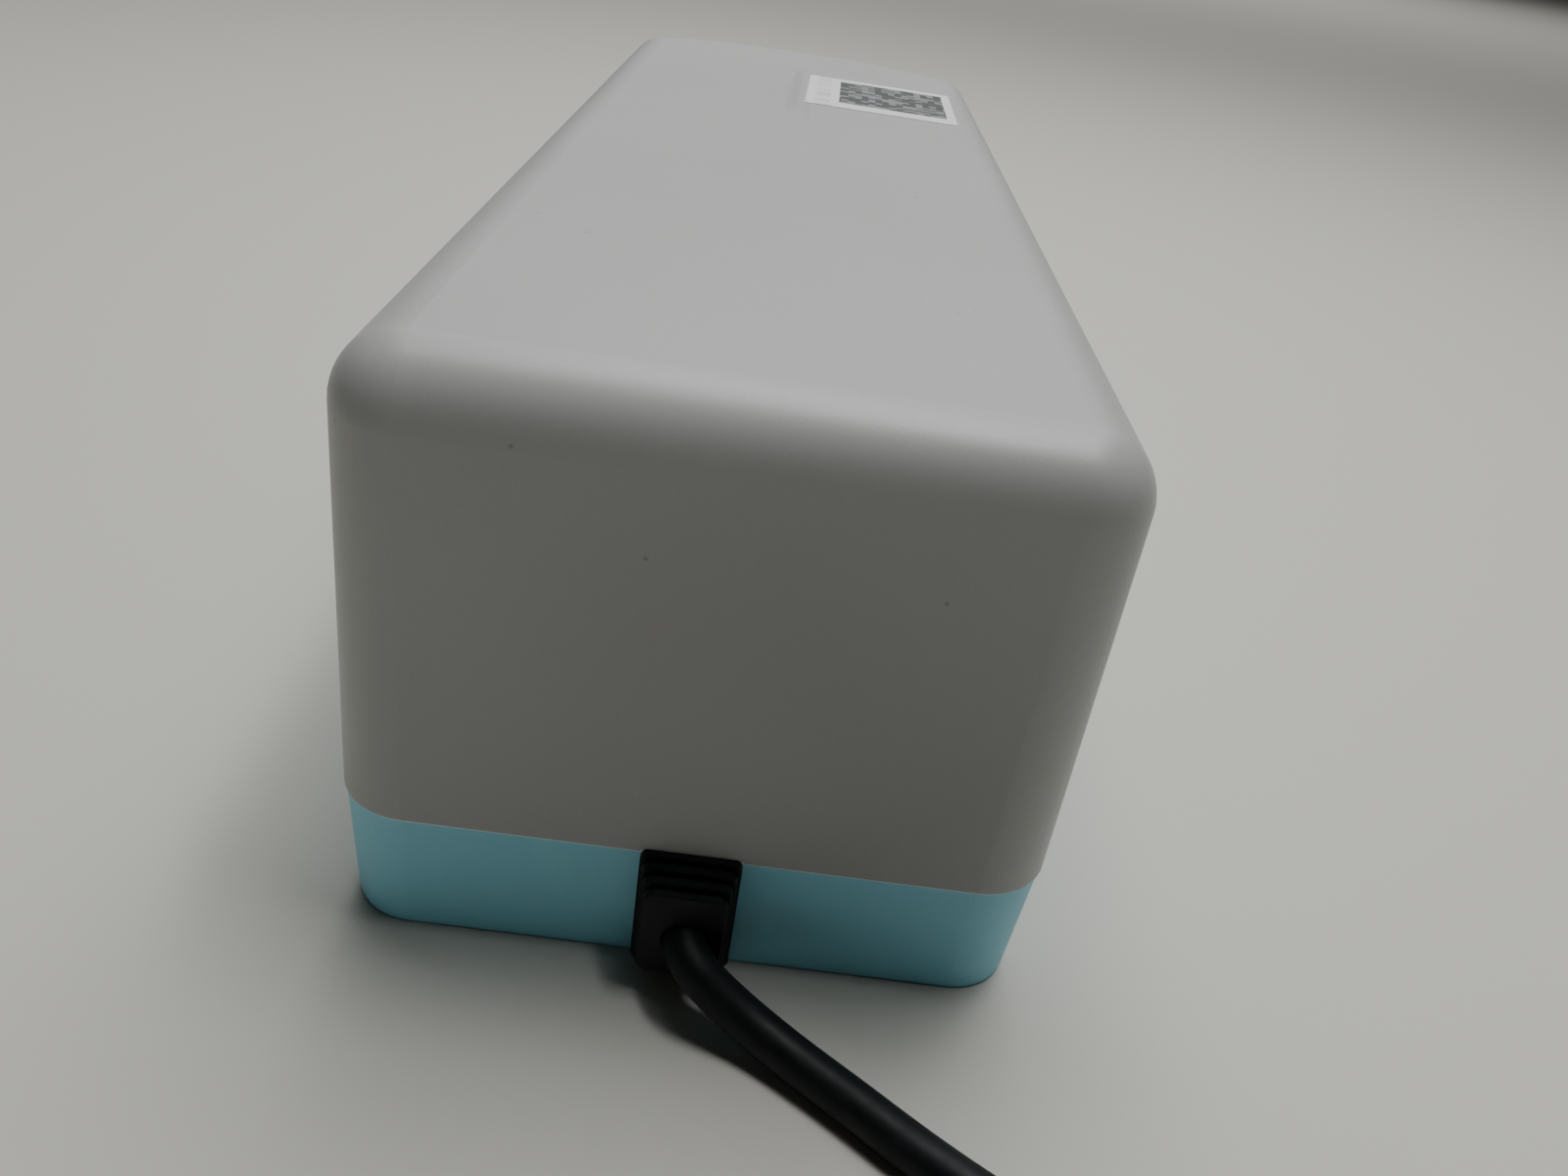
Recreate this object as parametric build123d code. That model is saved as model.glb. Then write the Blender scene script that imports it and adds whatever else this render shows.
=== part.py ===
from build123d import *
import math
import os

# Garage door opener: a motor head in a two-part case.  Millimetres, +Z up.
# The origin is under the middle of the case.  The cord end faces -Y, the bowed lamp end +Y.

# ------------------------------------------------------------------ case
body_width = 150.0  # across the seam
body_length = 420.0  # cord end to the tip of the bow
base_height = 31.0
shell_height = 98.5
shell_draft = 0.73  # degrees
base_draft = 3.0
corner_radius = 16.0
top_edge_radius = 14.0
front_bow = 24.0
shell_wall = 2.8
base_wall = 3.0
base_floor = 3.0
seam_step = 0.45  # the base stands in from the shell by this
foot_round = 0.8
tongue_wall = 1.6
tongue_rise = 5.0
tongue_root = 6.0
fit_gap = 0.2  # between mouldings that nest
bore_gap = 0.05  # radial, pins and shafts in their bores
panel_gap = 0.4  # around a flap or a lens

case_height = base_height + shell_height
rear_y = -body_length / 2
front_y = body_length / 2
side_x = body_width / 2

# screws through the base into the tall posts of the shell
screw_radius = 1.75
screw_head_radius = 3.3
screw_head_height = 2.4
post_radius = 4.5
boss_radius = 5.5
post_inset = 12.0
post_end_inset = 25.0
post_front_inset = 45.0
post_foot = base_height + 3.0
screw_seat = 12.0
screw_bite = 12.0

# ------------------------------------------------------------------ rail side of the base
channel_width = 50.0
channel_height = 14.0
channel_roof = 3.0
channel_wall = 3.0
gear_y = 30.0  # output axis
channel_rear = gear_y - 32.0
rail_spacing_x = 74.0
rail_spacing_y = 60.0
hanger_spacing = 100.0
hanger_inset = 60.0
insert_radius = 4.5
insert_bore = 2.5
insert_length = 14.0
insert_boss = 7.5
deck = channel_height + channel_roof  # height that the chassis lies on

# ------------------------------------------------------------------ chassis
chassis_width = 100.0
chassis_sheet = 2.0
chassis_inset = 25.0
chassis_front = gear_y + 42.0
chassis_screw_x = 45.0
chassis_screw_rear = gear_y - 130.0
chassis_screw_front = gear_y + 36.0
chassis_top = deck + chassis_sheet

# ------------------------------------------------------------------ worm drive
worm_module = 1.5
wheel_teeth = 32
worm_pitch_radius = 9.0
worm_length = 44.0
mesh_play = 0.13
wheel_width = 14.0
hub_radius = 13.0
motor_z = 52.0
motor_shaft_radius = 4.0
output_radius = 7.0
output_head_radius = 14.0
output_head_low = 2.0
output_head_high = 13.0
socket_radius = 6.0
socket_depth = 10.0
key_size = 3.0
bush_wall = 3.0
bush_length = 9.0
bush_rim = 1.5
bearing_radius = 9.5
bearing_width = 5.0
case_wall = 4.0
case_floor = 5.0
case_half_length = 31.0
case_right = 32.0
case_left = -49.0
case_top = 65.0
lid_height = 4.0
lid_top = case_top + lid_height
circlip_height = 1.2
circlip_radius = 9.5
circlip_groove = 6.2

wheel_pitch_radius = worm_module * wheel_teeth / 2
worm_x = -(worm_pitch_radius + wheel_pitch_radius)
worm_lead = math.pi * worm_module
case_rear = gear_y - case_half_length
case_front = gear_y + case_half_length

# ------------------------------------------------------------------ motor
can_radius = 31.5
can_wall = 2.0
can_length = 95.0
cap_length = 8.0
magnet_inner = 22.5
magnet_length = 65.0
core_radius = 21.5
core_length = 55.0
core_slots = 12
core_middle = case_rear - 51.5
winding_radius = 18.5
winding_overhang = 8.0
commutator_radius = 11.0
commutator_length = 6.0
brush_height = 6.0
brush_width = 4.6
brush_reach = 20.0
tie_bolt_radius = 2.0
tie_bolt_offset = 26.0
can_rear = case_rear - can_length
cradle_length = 20.0
cradle_wall = 5.0

# ------------------------------------------------------------------ limit unit
limit_module = 0.8
pinion_teeth = 12
limit_teeth = 60
limit_play = 0.07
limit_gap = 0.08  # added to each centre distance
limit_width = 5.0
pinion_bore = 2.5
bracket_sheet = 2.0
bracket_half = 31.0
axle_radius = 2.0
cam_radius = 16.0
lobe_radius = 19.0
cam_width = 3.0
lever_clearance = 1.6
switch_body = (6.4, 20.0, 10.0)
centre_step = limit_module * (pinion_teeth + limit_teeth) / 2 + limit_gap
idler_y = gear_y + centre_step
cam_y = idler_y + centre_step
bracket_top = lid_top + bracket_sheet
train_low = bracket_top + 2.0
train_high = train_low + limit_width + 2.0
cam_low = train_high + limit_width + 1.0

# ------------------------------------------------------------------ controls on the right side
window_rear = 20.0
window_front = 104.0
window_low = 50.0
window_high = 94.0
tub_wall = 2.0
panel_depth = 13.0
panel_sheet = 2.0
flap_wall = 2.2
hinge_radius = 2.7
hinge_pin_radius = 1.0
button_radius = 4.5
button_lift = 2.5
button_travel = 1.0
button_z = 82.0
button_ys = (38.0, 56.0, 74.0)
dial_radius = 6.0
dial_height = 3.6
dial_stem = 2.5
dial_z = 63.0
dial_ys = (46.0, 68.0)
board_sheet = 1.6
board_rear = -60.0
board_front = 118.0
board_low = 24.0
board_high = 110.0
board_gap = 6.0  # panel's back to the board
tact_height = 2.5
pot_height = 3.2
panel_x = side_x - panel_depth
board_x = panel_x - panel_sheet - board_gap

# ------------------------------------------------------------------ power supply
transformer_x = -22.0
transformer_inset = 60.0
core_width = 66.0
core_stack = 33.0
core_height = 55.0
core_leg = 11.0
coil_bulge = 9.5
transformer_bolt = 2.0
terminal_x = 30.0
terminal_inset = 35.0
terminal_size = (36.0, 14.0, 14.0)
lead_radius = 1.1

# ------------------------------------------------------------------ lamp
lens_half_width = 46.0
lens_low = 52.0
lens_high = 88.0
lens_lap = 4.0
lamp_inset = 42.0
lamp_half_width = 42.0
lamp_low = 50.0
lamp_high = 90.0
led_columns = 5
led_rows = 2

# ------------------------------------------------------------------ cord
cord_radius = 4.5
cord_z = 16.0
relief_width = 21.0
relief_low = 1.0
relief_high = 31.6
relief_front_width = 17.2
relief_front_low = 6.0
relief_front_high = 28.0
relief_ribs = 4
rib_thickness = 1.7
rib_groove = 0.75
relief_heel = 2.0  # the flange reaches this far back, down to the leaning wall
relief_neck = 13.6
groove_depth = 1.6
mouth_depth = 6.8
relief_face = rear_y + seam_step - 0.05
relief_end = relief_face - relief_ribs * rib_thickness - (relief_ribs - 1) * rib_groove
cord_lay = [
    (0, relief_end + mouth_depth, cord_z),
    (0, -218.4, cord_z),
    (3.2, -223.8, 14.6),
    (8.8, -226.4, 10.8),
    (16.4, -229.6, 6.9),
    (25.6, -235.2, 5.0),
    (36.5, -242.6, 4.6),
    (48.0, -251.2, 4.6),
    (61.0, -260.0, 4.7),
    (78.0, -270.0, 5.4),
]
coil_centre = (74.0, -331.0)
coil_radius = 50.0
coil_twist = 6.5  # how far each turn lies from the middle of the bundle
coil_z = 12.1
coil_turns = 3 + 5 / 12
coil_start = 60.0  # degrees about the coil's centre
bundle_radius = coil_twist + cord_radius
plug_radius = 18.5
plug_length = 36.0
plug_tail = 20.0
plug_turn = 135.0  # heading of the pins, degrees from +X
plug_start = (14.0, -358.6, plug_radius)
pin_radius = 2.4
pin_root_radius = 2.0
pin_root_depth = 8.0
pin_root_stand = 0.3  # root seen between the plug's face and the pin
pin_tip = 0.9
pin_length = 19.0
pin_spacing = 19.0
tie_width = 9.0
tie_sheet = 0.8


def block(x0, x1, y0, y1, z0, z1):
    return Pos((x0 + x1) / 2, (y0 + y1) / 2, (z0 + z1) / 2) * Box(x1 - x0, y1 - y0, z1 - z0)


def rod(radius, z0, z1, x=0.0, y=0.0):
    return Pos(x, y, (z0 + z1) / 2) * Cylinder(radius, z1 - z0)


def rod_y(radius, y0, y1, x, z):
    return Pos(x, (y0 + y1) / 2, z) * Rot(90, 0, 0) * Cylinder(radius, y1 - y0)


def rod_x(radius, x0, x1, y, z):
    return Pos((x0 + x1) / 2, y, z) * Rot(0, 90, 0) * Cylinder(radius, x1 - x0)


def save(name, *solids):
    shape = solids[0] if len(solids) == 1 else Compound(children=list(solids))
    export_step(shape, f"parts/{name}.step")


def outline(inset):
    """The case in plan: three straight sides, a bowed front and round corners."""
    half = side_x - inset
    cheek = front_y - front_bow - inset
    sides = Polyline((-half, cheek), (-half, rear_y + inset), (half, rear_y + inset), (half, cheek))
    bow = ThreePointArc((half, cheek), (0, front_y - inset), (-half, cheek))
    face = make_face([*sides.edges(), bow])
    return fillet(face.vertices(), corner_radius - inset)


def shell_form(inset, height=shell_height):
    return extrude(Plane.XY.offset(base_height) * outline(inset), height, taper=shell_draft)


def dome(inset):
    """The shell's form with its rounded top edge, all stood in by the inset."""
    form = shell_form(inset, shell_height - inset)
    top = form.faces().sort_by(Axis.Z)[-1]
    return fillet(top.edges(), top_edge_radius - inset)


def base_form(inset, depth):
    return extrude(Plane.XY.offset(base_height) * outline(inset), -depth, taper=base_draft)


def wall_x(z):
    """Outer face of the shell's side at a height."""
    return side_x - (z - base_height) * math.tan(math.radians(shell_draft))


def post_places():
    rear = rear_y + post_end_inset
    front = front_y - post_front_inset
    x = side_x - post_inset
    return [(-x, rear), (x, rear), (-x, gear_y + 15), (x, gear_y - 50), (-x, front), (x, front)]


def insert_places():
    rail = [(x * rail_spacing_x / 2, gear_y + y * rail_spacing_y / 2) for x in (-1, 1) for y in (-1, 1)]
    return rail + [(x * hanger_spacing / 2, rear_y + hanger_inset) for x in (-1, 1)]


def chassis_places():
    return [(x * chassis_screw_x, y) for x in (-1, 1) for y in (chassis_screw_rear, chassis_screw_front)]


def screw(x, y, z_seat, length, up):
    """A pan-head screw with its seat at z_seat, its shank going up or down."""
    way = 1 if up else -1
    shank = rod(screw_radius, *sorted((z_seat, z_seat + way * length)), x, y)
    head = rod(screw_head_radius, *sorted((z_seat, z_seat - way * screw_head_height)), x, y)
    far = z_seat - way * screw_head_height
    slot_z = sorted((far, far + way * 1.2))
    cross = block(x - 2, x + 2, y - 0.4, y + 0.4, *slot_z) + block(x - 0.4, x + 0.4, y - 2, y + 2, *slot_z)
    return shank + head - cross


# ------------------------------------------------------------------ case parts
def make_base():
    tray = base_form(seam_step, base_height)
    bottom = tray.faces().sort_by(Axis.Z)[0]
    tray = fillet(bottom.edges(), foot_round)
    tray -= base_form(seam_step + base_wall, base_height - base_floor)
    tongue_out = shell_wall + fit_gap
    root = outline(seam_step + 1) - outline(tongue_out + tongue_wall)
    tray += extrude(Plane.XY.offset(base_height - tongue_root) * root, tongue_root)
    tongue = outline(tongue_out) - outline(tongue_out + tongue_wall)
    tray += extrude(Plane.XY.offset(base_height) * tongue, tongue_rise)
    half = channel_width / 2
    inside = base_form(seam_step + 1, base_height - 0.5)
    ridge = block(-half - channel_wall, half + channel_wall, channel_rear - channel_wall, front_y, 1, deck)
    extras = ridge & inside
    for x, y in insert_places():
        extras += rod(insert_boss, 0.5, deck, x, y)
    for x, y in chassis_places():
        extras += rod(boss_radius, 0.5, deck, x, y)
    for x, y in post_places():
        extras += rod(boss_radius, 0.5, post_foot, x, y)
    for y in (board_rear, board_front):
        extras += block(board_x - 4, board_x + 3, y - 3, y + 3, 1, board_low + 12)
    tray += extras
    tray -= block(-half, half, channel_rear, front_y + 5, -1, channel_height)
    tray -= rod(output_radius + 1, channel_height - 1, deck + 1, 0, gear_y)
    for x, y in insert_places():
        tray -= rod(insert_radius, -1, insert_length, x, y)
        tray -= rod(insert_bore, insert_length - 1, deck - 1, x, y)
    for x, y in chassis_places():
        tray -= rod(screw_radius + bore_gap, base_floor + 2, deck + 1, x, y)
    for x, y in post_places():
        tray -= rod(screw_head_radius + 0.4, -1, screw_seat, x, y)
        tray -= rod(screw_radius + 0.2, screw_seat - 1, post_foot + 1, x, y)
    board = (board_x - board_sheet - 0.1, board_x + 0.1)
    tray -= block(*board, board_rear - 0.1, board_front + 0.1, board_low, board_low + 20)
    slot = relief_neck / 2 + fit_gap
    tray -= block(-slot, slot, rear_y - 1, rear_y + base_wall + 2, base_floor + 0.8, base_height + 10)
    shoulder = relief_width / 2
    shoulder_rear = rear_y + seam_step + base_wall
    lowest = base_floor + 0.4
    return tray - block(-shoulder, shoulder, shoulder_rear, shoulder_rear + 3, lowest, base_height + 10)


def make_shell():
    shell = dome(0)
    inner = dome(shell_wall)
    extras = []
    for x, y in post_places():
        out = side_x if x > 0 else -side_x
        extras.append(rod(post_radius, post_foot, case_height - 1, x, y))
        rib = sorted((x, out - math.copysign(shell_wall / 2, x)))
        rib_high = case_height - top_edge_radius
        extras.append(block(*rib, y - 0.8, y + 0.8, base_height + tongue_rise + 2, rib_high))
    slots = []
    for x in (-1, 1):
        near = sorted((x * (lamp_half_width - 2), x * (lamp_half_width + 3)))
        far_y = front_y - lamp_inset
        extras.append(block(*near, far_y - 3, far_y + 5, lamp_low - 2, case_height - 1))
        gap = sorted((x * (lamp_half_width - 3), x * (lamp_half_width + fit_gap)))
        slots.append(block(*gap, far_y - 0.1, far_y + board_sheet + 0.1, lamp_low - 3, lamp_high + 0.2))
    tub = (panel_x, side_x - 1, window_rear - tub_wall, window_front + tub_wall)
    extras.append(block(*tub, window_low - tub_wall, window_high + tub_wall))
    shell = (shell - inner) + (Part() + extras & dome(0.5))
    for slot in slots:
        shell -= slot
    shell -= block(panel_x - 1, side_x + 5, window_rear, window_front, window_low, window_high)
    for y in (window_rear + 12, window_front - 12):
        stop_x = wall_x(window_high) - flap_wall - fit_gap
        shell += block(panel_x + 1, stop_x, y - 3, y + 3, window_high - 3, window_high + 0.5)
    shell -= block(-lens_half_width, lens_half_width, front_y - 35, front_y + 5, lens_low, lens_high)
    for x, y in post_places():
        shell -= rod(screw_radius + bore_gap, post_foot - 1, post_foot + screw_bite + 4, x, y)
    for k in range(7):
        y = rear_y + 46 + 9 * k
        shell -= block(-side_x - 5, side_x + 5, y, y + 3, 52, 88)
    x, z = hinge_place()
    shell -= rod_y(hinge_pin_radius, window_rear - 1.5, window_front + 1.5, x, z)
    notch = relief_width / 2 + 0.1
    return shell - block(-notch, notch, rear_y - 1, relief_face + 0.02, base_height - 1, relief_high + 0.1)


def make_lens():
    """The lamp's cover: a panel that fills the window, on a flange behind the wall."""
    half = lens_half_width - panel_gap
    panel = shell_form(0.2) - shell_form(shell_wall + 0.6)
    panel &= block(-half, half, front_y - 35, front_y + 5, lens_low + panel_gap, lens_high - panel_gap)
    flange = shell_form(shell_wall + 0.15) - shell_form(shell_wall + 1.7)
    half = lens_half_width + lens_lap
    lens_edges = (lens_low - lens_lap, lens_high + lens_lap)
    return panel + (flange & block(-half, half, front_y - 50, front_y + 5, *lens_edges))


def hinge_place():
    z = window_low + hinge_radius + panel_gap
    return wall_x(z) - hinge_radius, z


def make_flap():
    x, z = hinge_place()
    rear = window_rear + panel_gap
    front = window_front - panel_gap
    flap = shell_form(0) - shell_form(flap_wall)
    flap &= block(side_x - 20, side_x + 5, rear, front, z, window_high - panel_gap)
    flap += rod_y(hinge_radius, rear, front, x, z)
    middle = (window_rear + window_front) / 2
    flap -= rod_x(9, side_x - 20, side_x + 5, middle, window_high + 4.5)
    return flap - rod_y(hinge_pin_radius + bore_gap, rear - 1, front + 1, x, z)


def make_panel():
    tub = (window_rear - tub_wall, window_front + tub_wall, window_low - tub_wall, window_high + tub_wall)
    panel = block(panel_x - panel_sheet, panel_x, *tub)
    for y in button_ys:
        panel -= rod_x(button_radius + bore_gap, panel_x - 5, panel_x + 5, y, button_z)
    for y in dial_ys:
        panel -= rod_x(dial_stem + bore_gap, panel_x - 5, panel_x + 5, y, dial_z)
    return panel


def make_button(y):
    back = panel_x - panel_sheet - 0.1
    cap = rod_x(button_radius, back - 0.5, panel_x + button_lift, y, button_z)
    cap = chamfer(cap.faces().sort_by(Axis.X)[-1].edges(), 0.5)
    flange = rod_x(button_radius + 1.2, back - 1.2, back, y, button_z)
    stem_end = board_x + tact_height + button_travel + 0.2
    return cap + flange + rod_x(1.5, stem_end, back, y, button_z)


def make_dial(y):
    knob = rod_x(dial_radius, panel_x + 0.2, panel_x + dial_height, y, dial_z)
    knob = chamfer(knob.faces().sort_by(Axis.X)[-1].edges(), 0.5)
    top = panel_x + dial_height
    knob -= block(top - 1.4, top + 1, y - 0.8, y + 0.8, dial_z - 4.6, dial_z + 4.6)
    knob -= block(top - 0.7, top + 1, y - 0.5, y + 0.5, dial_z + 4.4, dial_z + dial_radius + 1)
    back = panel_x - panel_sheet - 0.1
    flange = rod_x(dial_stem + 1.5, back - 1, back, y, dial_z)
    return knob + flange + rod_x(dial_stem, board_x + pot_height + 0.3, panel_x + 1, y, dial_z)


# ------------------------------------------------------------------ gears
def toothed(teeth, module, play):
    """A spur section with 20 degree involute flanks, thinned by the play on each flank."""
    pitch = teeth * module / 2
    base = pitch * math.cos(math.radians(20))
    root = pitch - 1.25 * module
    tip = pitch + module

    def roll(radius):
        a = math.acos(min(1, base / radius))
        return math.tan(a) - a

    def half_angle(radius):
        return math.pi / 2 / teeth - play / pitch + roll(pitch) - roll(max(radius, base))

    ring = []
    for k in range(teeth):
        middle = 2 * math.pi * k / teeth
        flank = [(r, half_angle(r)) for r in (root, pitch, (pitch + tip) / 2, tip)]
        ring += [(r, middle - a) for r, a in flank] + [(r, middle + a) for r, a in reversed(flank)]
    return make_face(Polyline(*[(r * math.cos(a), r * math.sin(a)) for r, a in ring], close=True))


def worm_thread():
    """One thread as a twisted bar: its section is a cam whose radius follows the rack profile."""
    slope = math.tan(math.radians(20))
    tip = worm_pitch_radius + worm_module
    root = worm_pitch_radius - 1.25 * worm_module

    def spot(radius, side):
        half = worm_lead / 4 - (radius - worm_pitch_radius) * slope - mesh_play
        a = side * 2 * math.pi * half / worm_lead
        return (radius * math.cos(a), radius * math.sin(a))

    radii = [tip + (root - tip) * k / 6 for k in range(7)]
    flanks = [Spline(*[spot(r, side) for r in radii]) for side in (1, -1)]
    crest = ThreePointArc(spot(tip, -1), (tip, 0), spot(tip, 1))
    valley = ThreePointArc(spot(root, 1), (-root, 0), spot(root, -1))
    section = make_face([crest, flanks[0], valley, flanks[1]])
    turn = 360 * worm_length / worm_lead
    bar = Solid.extrude_linear_with_rotation(section.face(), (0, 0, 0), (0, 0, worm_length), turn)
    return Rot(0, 0, 180 - turn / 2) * bar


def make_worm():
    """Motor shaft and worm in one piece, lying along Y."""
    thread = Pos(worm_x, gear_y - worm_length / 2, motor_z) * Rot(-90, 0, 0) * worm_thread()
    rear = can_rear - cap_length + 2.5
    front = case_front - 1
    return thread + rod_y(motor_shaft_radius, rear, front, worm_x, motor_z)


def make_wheel():
    lead_angle = math.atan(worm_lead / (2 * math.pi * worm_pitch_radius))
    twist = math.degrees(wheel_width * math.tan(lead_angle) / wheel_pitch_radius)
    section = toothed(wheel_teeth, worm_module, mesh_play)
    wheel = Solid.extrude_linear_with_rotation(section.face(), (0, 0, 0), (0, 0, wheel_width), twist)
    wheel = Pos(0, gear_y, motor_z - wheel_width / 2) * Rot(0, 0, -twist / 2) * wheel
    wheel += rod(hub_radius, motor_z - 12, motor_z + 8, 0, gear_y)
    wheel -= rod(output_radius + 0.02, motor_z - 20, motor_z + 20, 0, gear_y)
    return wheel - key_block(0.02, 1)


def key_block(gap, longer):
    half = key_size / 2 + gap
    y = gear_y + output_radius
    return block(-half, half, y - half, y + half, motor_z - 9 - longer, motor_z + 6 + gap)


def make_output_shaft():
    shaft = rod(output_radius, output_head_high - 1, lid_top + 3, 0, gear_y)
    shaft += rod(output_head_radius, output_head_low, output_head_high, 0, gear_y)
    shaft += rod(pinion_bore, lid_top, train_low + limit_width + 0.6, 0, gear_y)
    socket_end = output_head_low + socket_depth
    shaft -= rod(socket_radius, output_head_low - 1, socket_end, 0, gear_y)
    keyway = block(-1.5, 1.5, gear_y, gear_y + socket_radius + 1.6, output_head_low - 1, socket_end)
    groove_low = lid_top + 0.5
    groove = rod(output_radius + 1, groove_low, groove_low + circlip_height + 0.04, 0, gear_y)
    groove -= rod(circlip_groove, groove_low - 1, groove_low + 3, 0, gear_y)
    return shaft - keyway - groove - key_block(0.02, 0)


def make_circlip():
    low = lid_top + 0.52
    ring = rod(circlip_radius, low, low + circlip_height, 0, gear_y)
    ring -= rod(circlip_groove + 0.02, low - 1, low + 3, 0, gear_y)
    return ring - block(-2.5, 2.5, gear_y, gear_y + 12, low - 1, low + 3)


def make_bushes():
    pieces = []
    upper_low = lid_top - bush_length
    for low, flange in ((chassis_top, chassis_top + bush_length - bush_rim), (upper_low, upper_low)):
        bush = rod(output_radius + bush_wall, low, low + bush_length, 0, gear_y)
        bush += rod(output_radius + bush_wall + bush_rim, flange, flange + bush_rim, 0, gear_y)
        pieces.append(bush - rod(output_radius + bore_gap, low - 1, low + bush_length + 1, 0, gear_y))
    return pieces


def bearing_places():
    return [can_rear - cap_length + 2, case_rear - 3, case_front - bearing_width - 0.5]


def make_bearings():
    pieces = []
    for y in bearing_places():
        ring = rod_y(bearing_radius, y, y + bearing_width, worm_x, motor_z)
        bore = rod_y(motor_shaft_radius + bore_gap, y - 1, y + bearing_width + 1, worm_x, motor_z)
        pieces.append(ring - bore)
    return pieces


def bearing_pockets():
    holes = [rod_y(bearing_radius, y, y + bearing_width, worm_x, motor_z) for y in bearing_places()]
    return holes[0] + holes[1] + holes[2]


def lid_screw_places():
    x0, x1 = case_left + 4, case_right - 4
    y0, y1 = case_rear + 4, case_front - 4
    return [(x0, y0), (x1, y0), (x0, y1), (x1, y1)]


def make_case():
    shell = block(case_left, case_right, case_rear, case_front, chassis_top, case_top)
    walls = (case_left + case_wall, case_right - case_wall, case_rear + case_wall, case_front - case_wall)
    shell -= block(*walls, chassis_top + case_floor, case_top + 1)
    for x, y in lid_screw_places():
        shell += rod(4, chassis_top, case_top, x, y)
    shell += rod(output_radius + bush_wall + 3, chassis_top, chassis_top + bush_length - 1.5, 0, gear_y)
    for y in (case_rear, case_front):
        inward = y + math.copysign(7, gear_y - y)
        shell += block(worm_x - 12, worm_x + 12, *sorted((y, inward)), chassis_top, case_top)
    shell -= rod(output_radius + bush_wall, chassis_top - 1, chassis_top + bush_length, 0, gear_y)
    shell -= rod_y(motor_shaft_radius + 1, case_rear - 1, case_front - 0.8, worm_x, motor_z)
    shell -= bearing_pockets()
    for z in tie_bolt_heights():
        shell -= rod_y(tie_bolt_radius, case_rear - 1, case_rear + 5, worm_x, z)
    for x, y in lid_screw_places():
        shell -= rod(screw_radius + bore_gap, case_top - 14, case_top + 1, x, y)
    return shell & block(case_left, case_right, case_rear, case_front, chassis_top, case_top)


def make_lid():
    lid = block(case_left, case_right, case_rear, case_front, case_top, lid_top)
    lid += rod(output_radius + bush_wall + 3, lid_top - bush_length + 1.5, case_top + 1, 0, gear_y)
    lid -= rod(output_radius + bush_wall, 0, lid_top + 1, 0, gear_y)
    for x, y in lid_screw_places():
        lid -= rod(screw_radius + bore_gap, 0, lid_top + 1, x, y)
    for side in (-1, 1):
        lid -= rod(screw_radius + bore_gap, 0, lid_top + 1, side * 20, gear_y - 16)
    return lid


# ------------------------------------------------------------------ motor
def make_can():
    can = rod_y(can_radius, can_rear, case_rear, worm_x, motor_z)
    can -= rod_y(can_radius - can_wall, can_rear - 1, case_rear - can_wall - 2, worm_x, motor_z)
    can -= rod_y(motor_shaft_radius + 1, case_rear - 6, case_rear + 1, worm_x, motor_z) + bearing_pockets()
    for z in tie_bolt_heights():
        can -= rod_y(tie_bolt_radius + bore_gap, case_rear - 6, case_rear + 1, worm_x, z)
    return can


def make_end_cap():
    rear = can_rear - cap_length
    cap = rod_y(can_radius, rear, can_rear, worm_x, motor_z)
    cap = chamfer(cap.faces().sort_by(Axis.Y)[0].edges(), 2)
    for side in (-1, 1):
        near, far = sorted((worm_x + side * 13, worm_x + side * 24))
        holder = block(near, far, can_rear - 1, can_rear + 8, motor_z - 5, motor_z + 5)
        cap += holder
    for z in tie_bolt_heights():
        cap -= rod_y(tie_bolt_radius + bore_gap, rear - 1, can_rear + 1, worm_x, z)
    cap -= brush_slots(0.1)
    return cap - bearing_pockets() - rod_y(motor_shaft_radius + 1, rear + 2, can_rear + 1, worm_x, motor_z)


def tie_bolt_heights():
    return motor_z - tie_bolt_offset, motor_z + tie_bolt_offset


def brush_slots(gap):
    half_z = brush_height / 2 + gap
    y = commutator_rear() + commutator_length / 2
    half_y = brush_width / 2 + gap
    across = (worm_x - brush_reach, worm_x + brush_reach)
    return block(*across, y - half_y, y + half_y, motor_z - half_z, motor_z + half_z)


def commutator_rear():
    return can_rear + 1.5


def make_brushes():
    bar = brush_slots(0)
    bar -= rod_y(commutator_radius + 0.1, can_rear - 5, can_rear + 20, worm_x, motor_z)
    return [s for s in bar.solids()]


def make_magnets():
    low = core_middle - magnet_length / 2
    ring = rod_y(can_radius - can_wall - 0.05, low, low + magnet_length, worm_x, motor_z)
    ring -= rod_y(magnet_inner, low - 1, low + magnet_length + 1, worm_x, motor_z)
    ring -= block(worm_x - 14, worm_x + 14, low - 1, low + magnet_length + 1, motor_z - 40, motor_z + 40)
    return [s for s in ring.solids()]


def slot_ring(radius, inner, width):
    """A disc with the armature's slots cut in, as a plane section in X and Z."""
    disc = Circle(radius)
    for k in range(core_slots):
        slot = Pos((inner + radius) / 2 + 1, 0) * Rectangle(radius - inner + 2, width)
        disc -= Rot(0, 0, 360 * k / core_slots) * slot
    return disc


def along_y(section, y0, y1):
    return Pos(worm_x, y1, motor_z) * Rot(90, 0, 0) * extrude(section, y1 - y0)


def make_core():
    low = core_middle - core_length / 2
    core = along_y(slot_ring(core_radius, 11.0, 2.6), low, low + core_length)
    return core - rod_y(motor_shaft_radius + 0.02, low - 1, low + core_length + 1, worm_x, motor_z)


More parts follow.
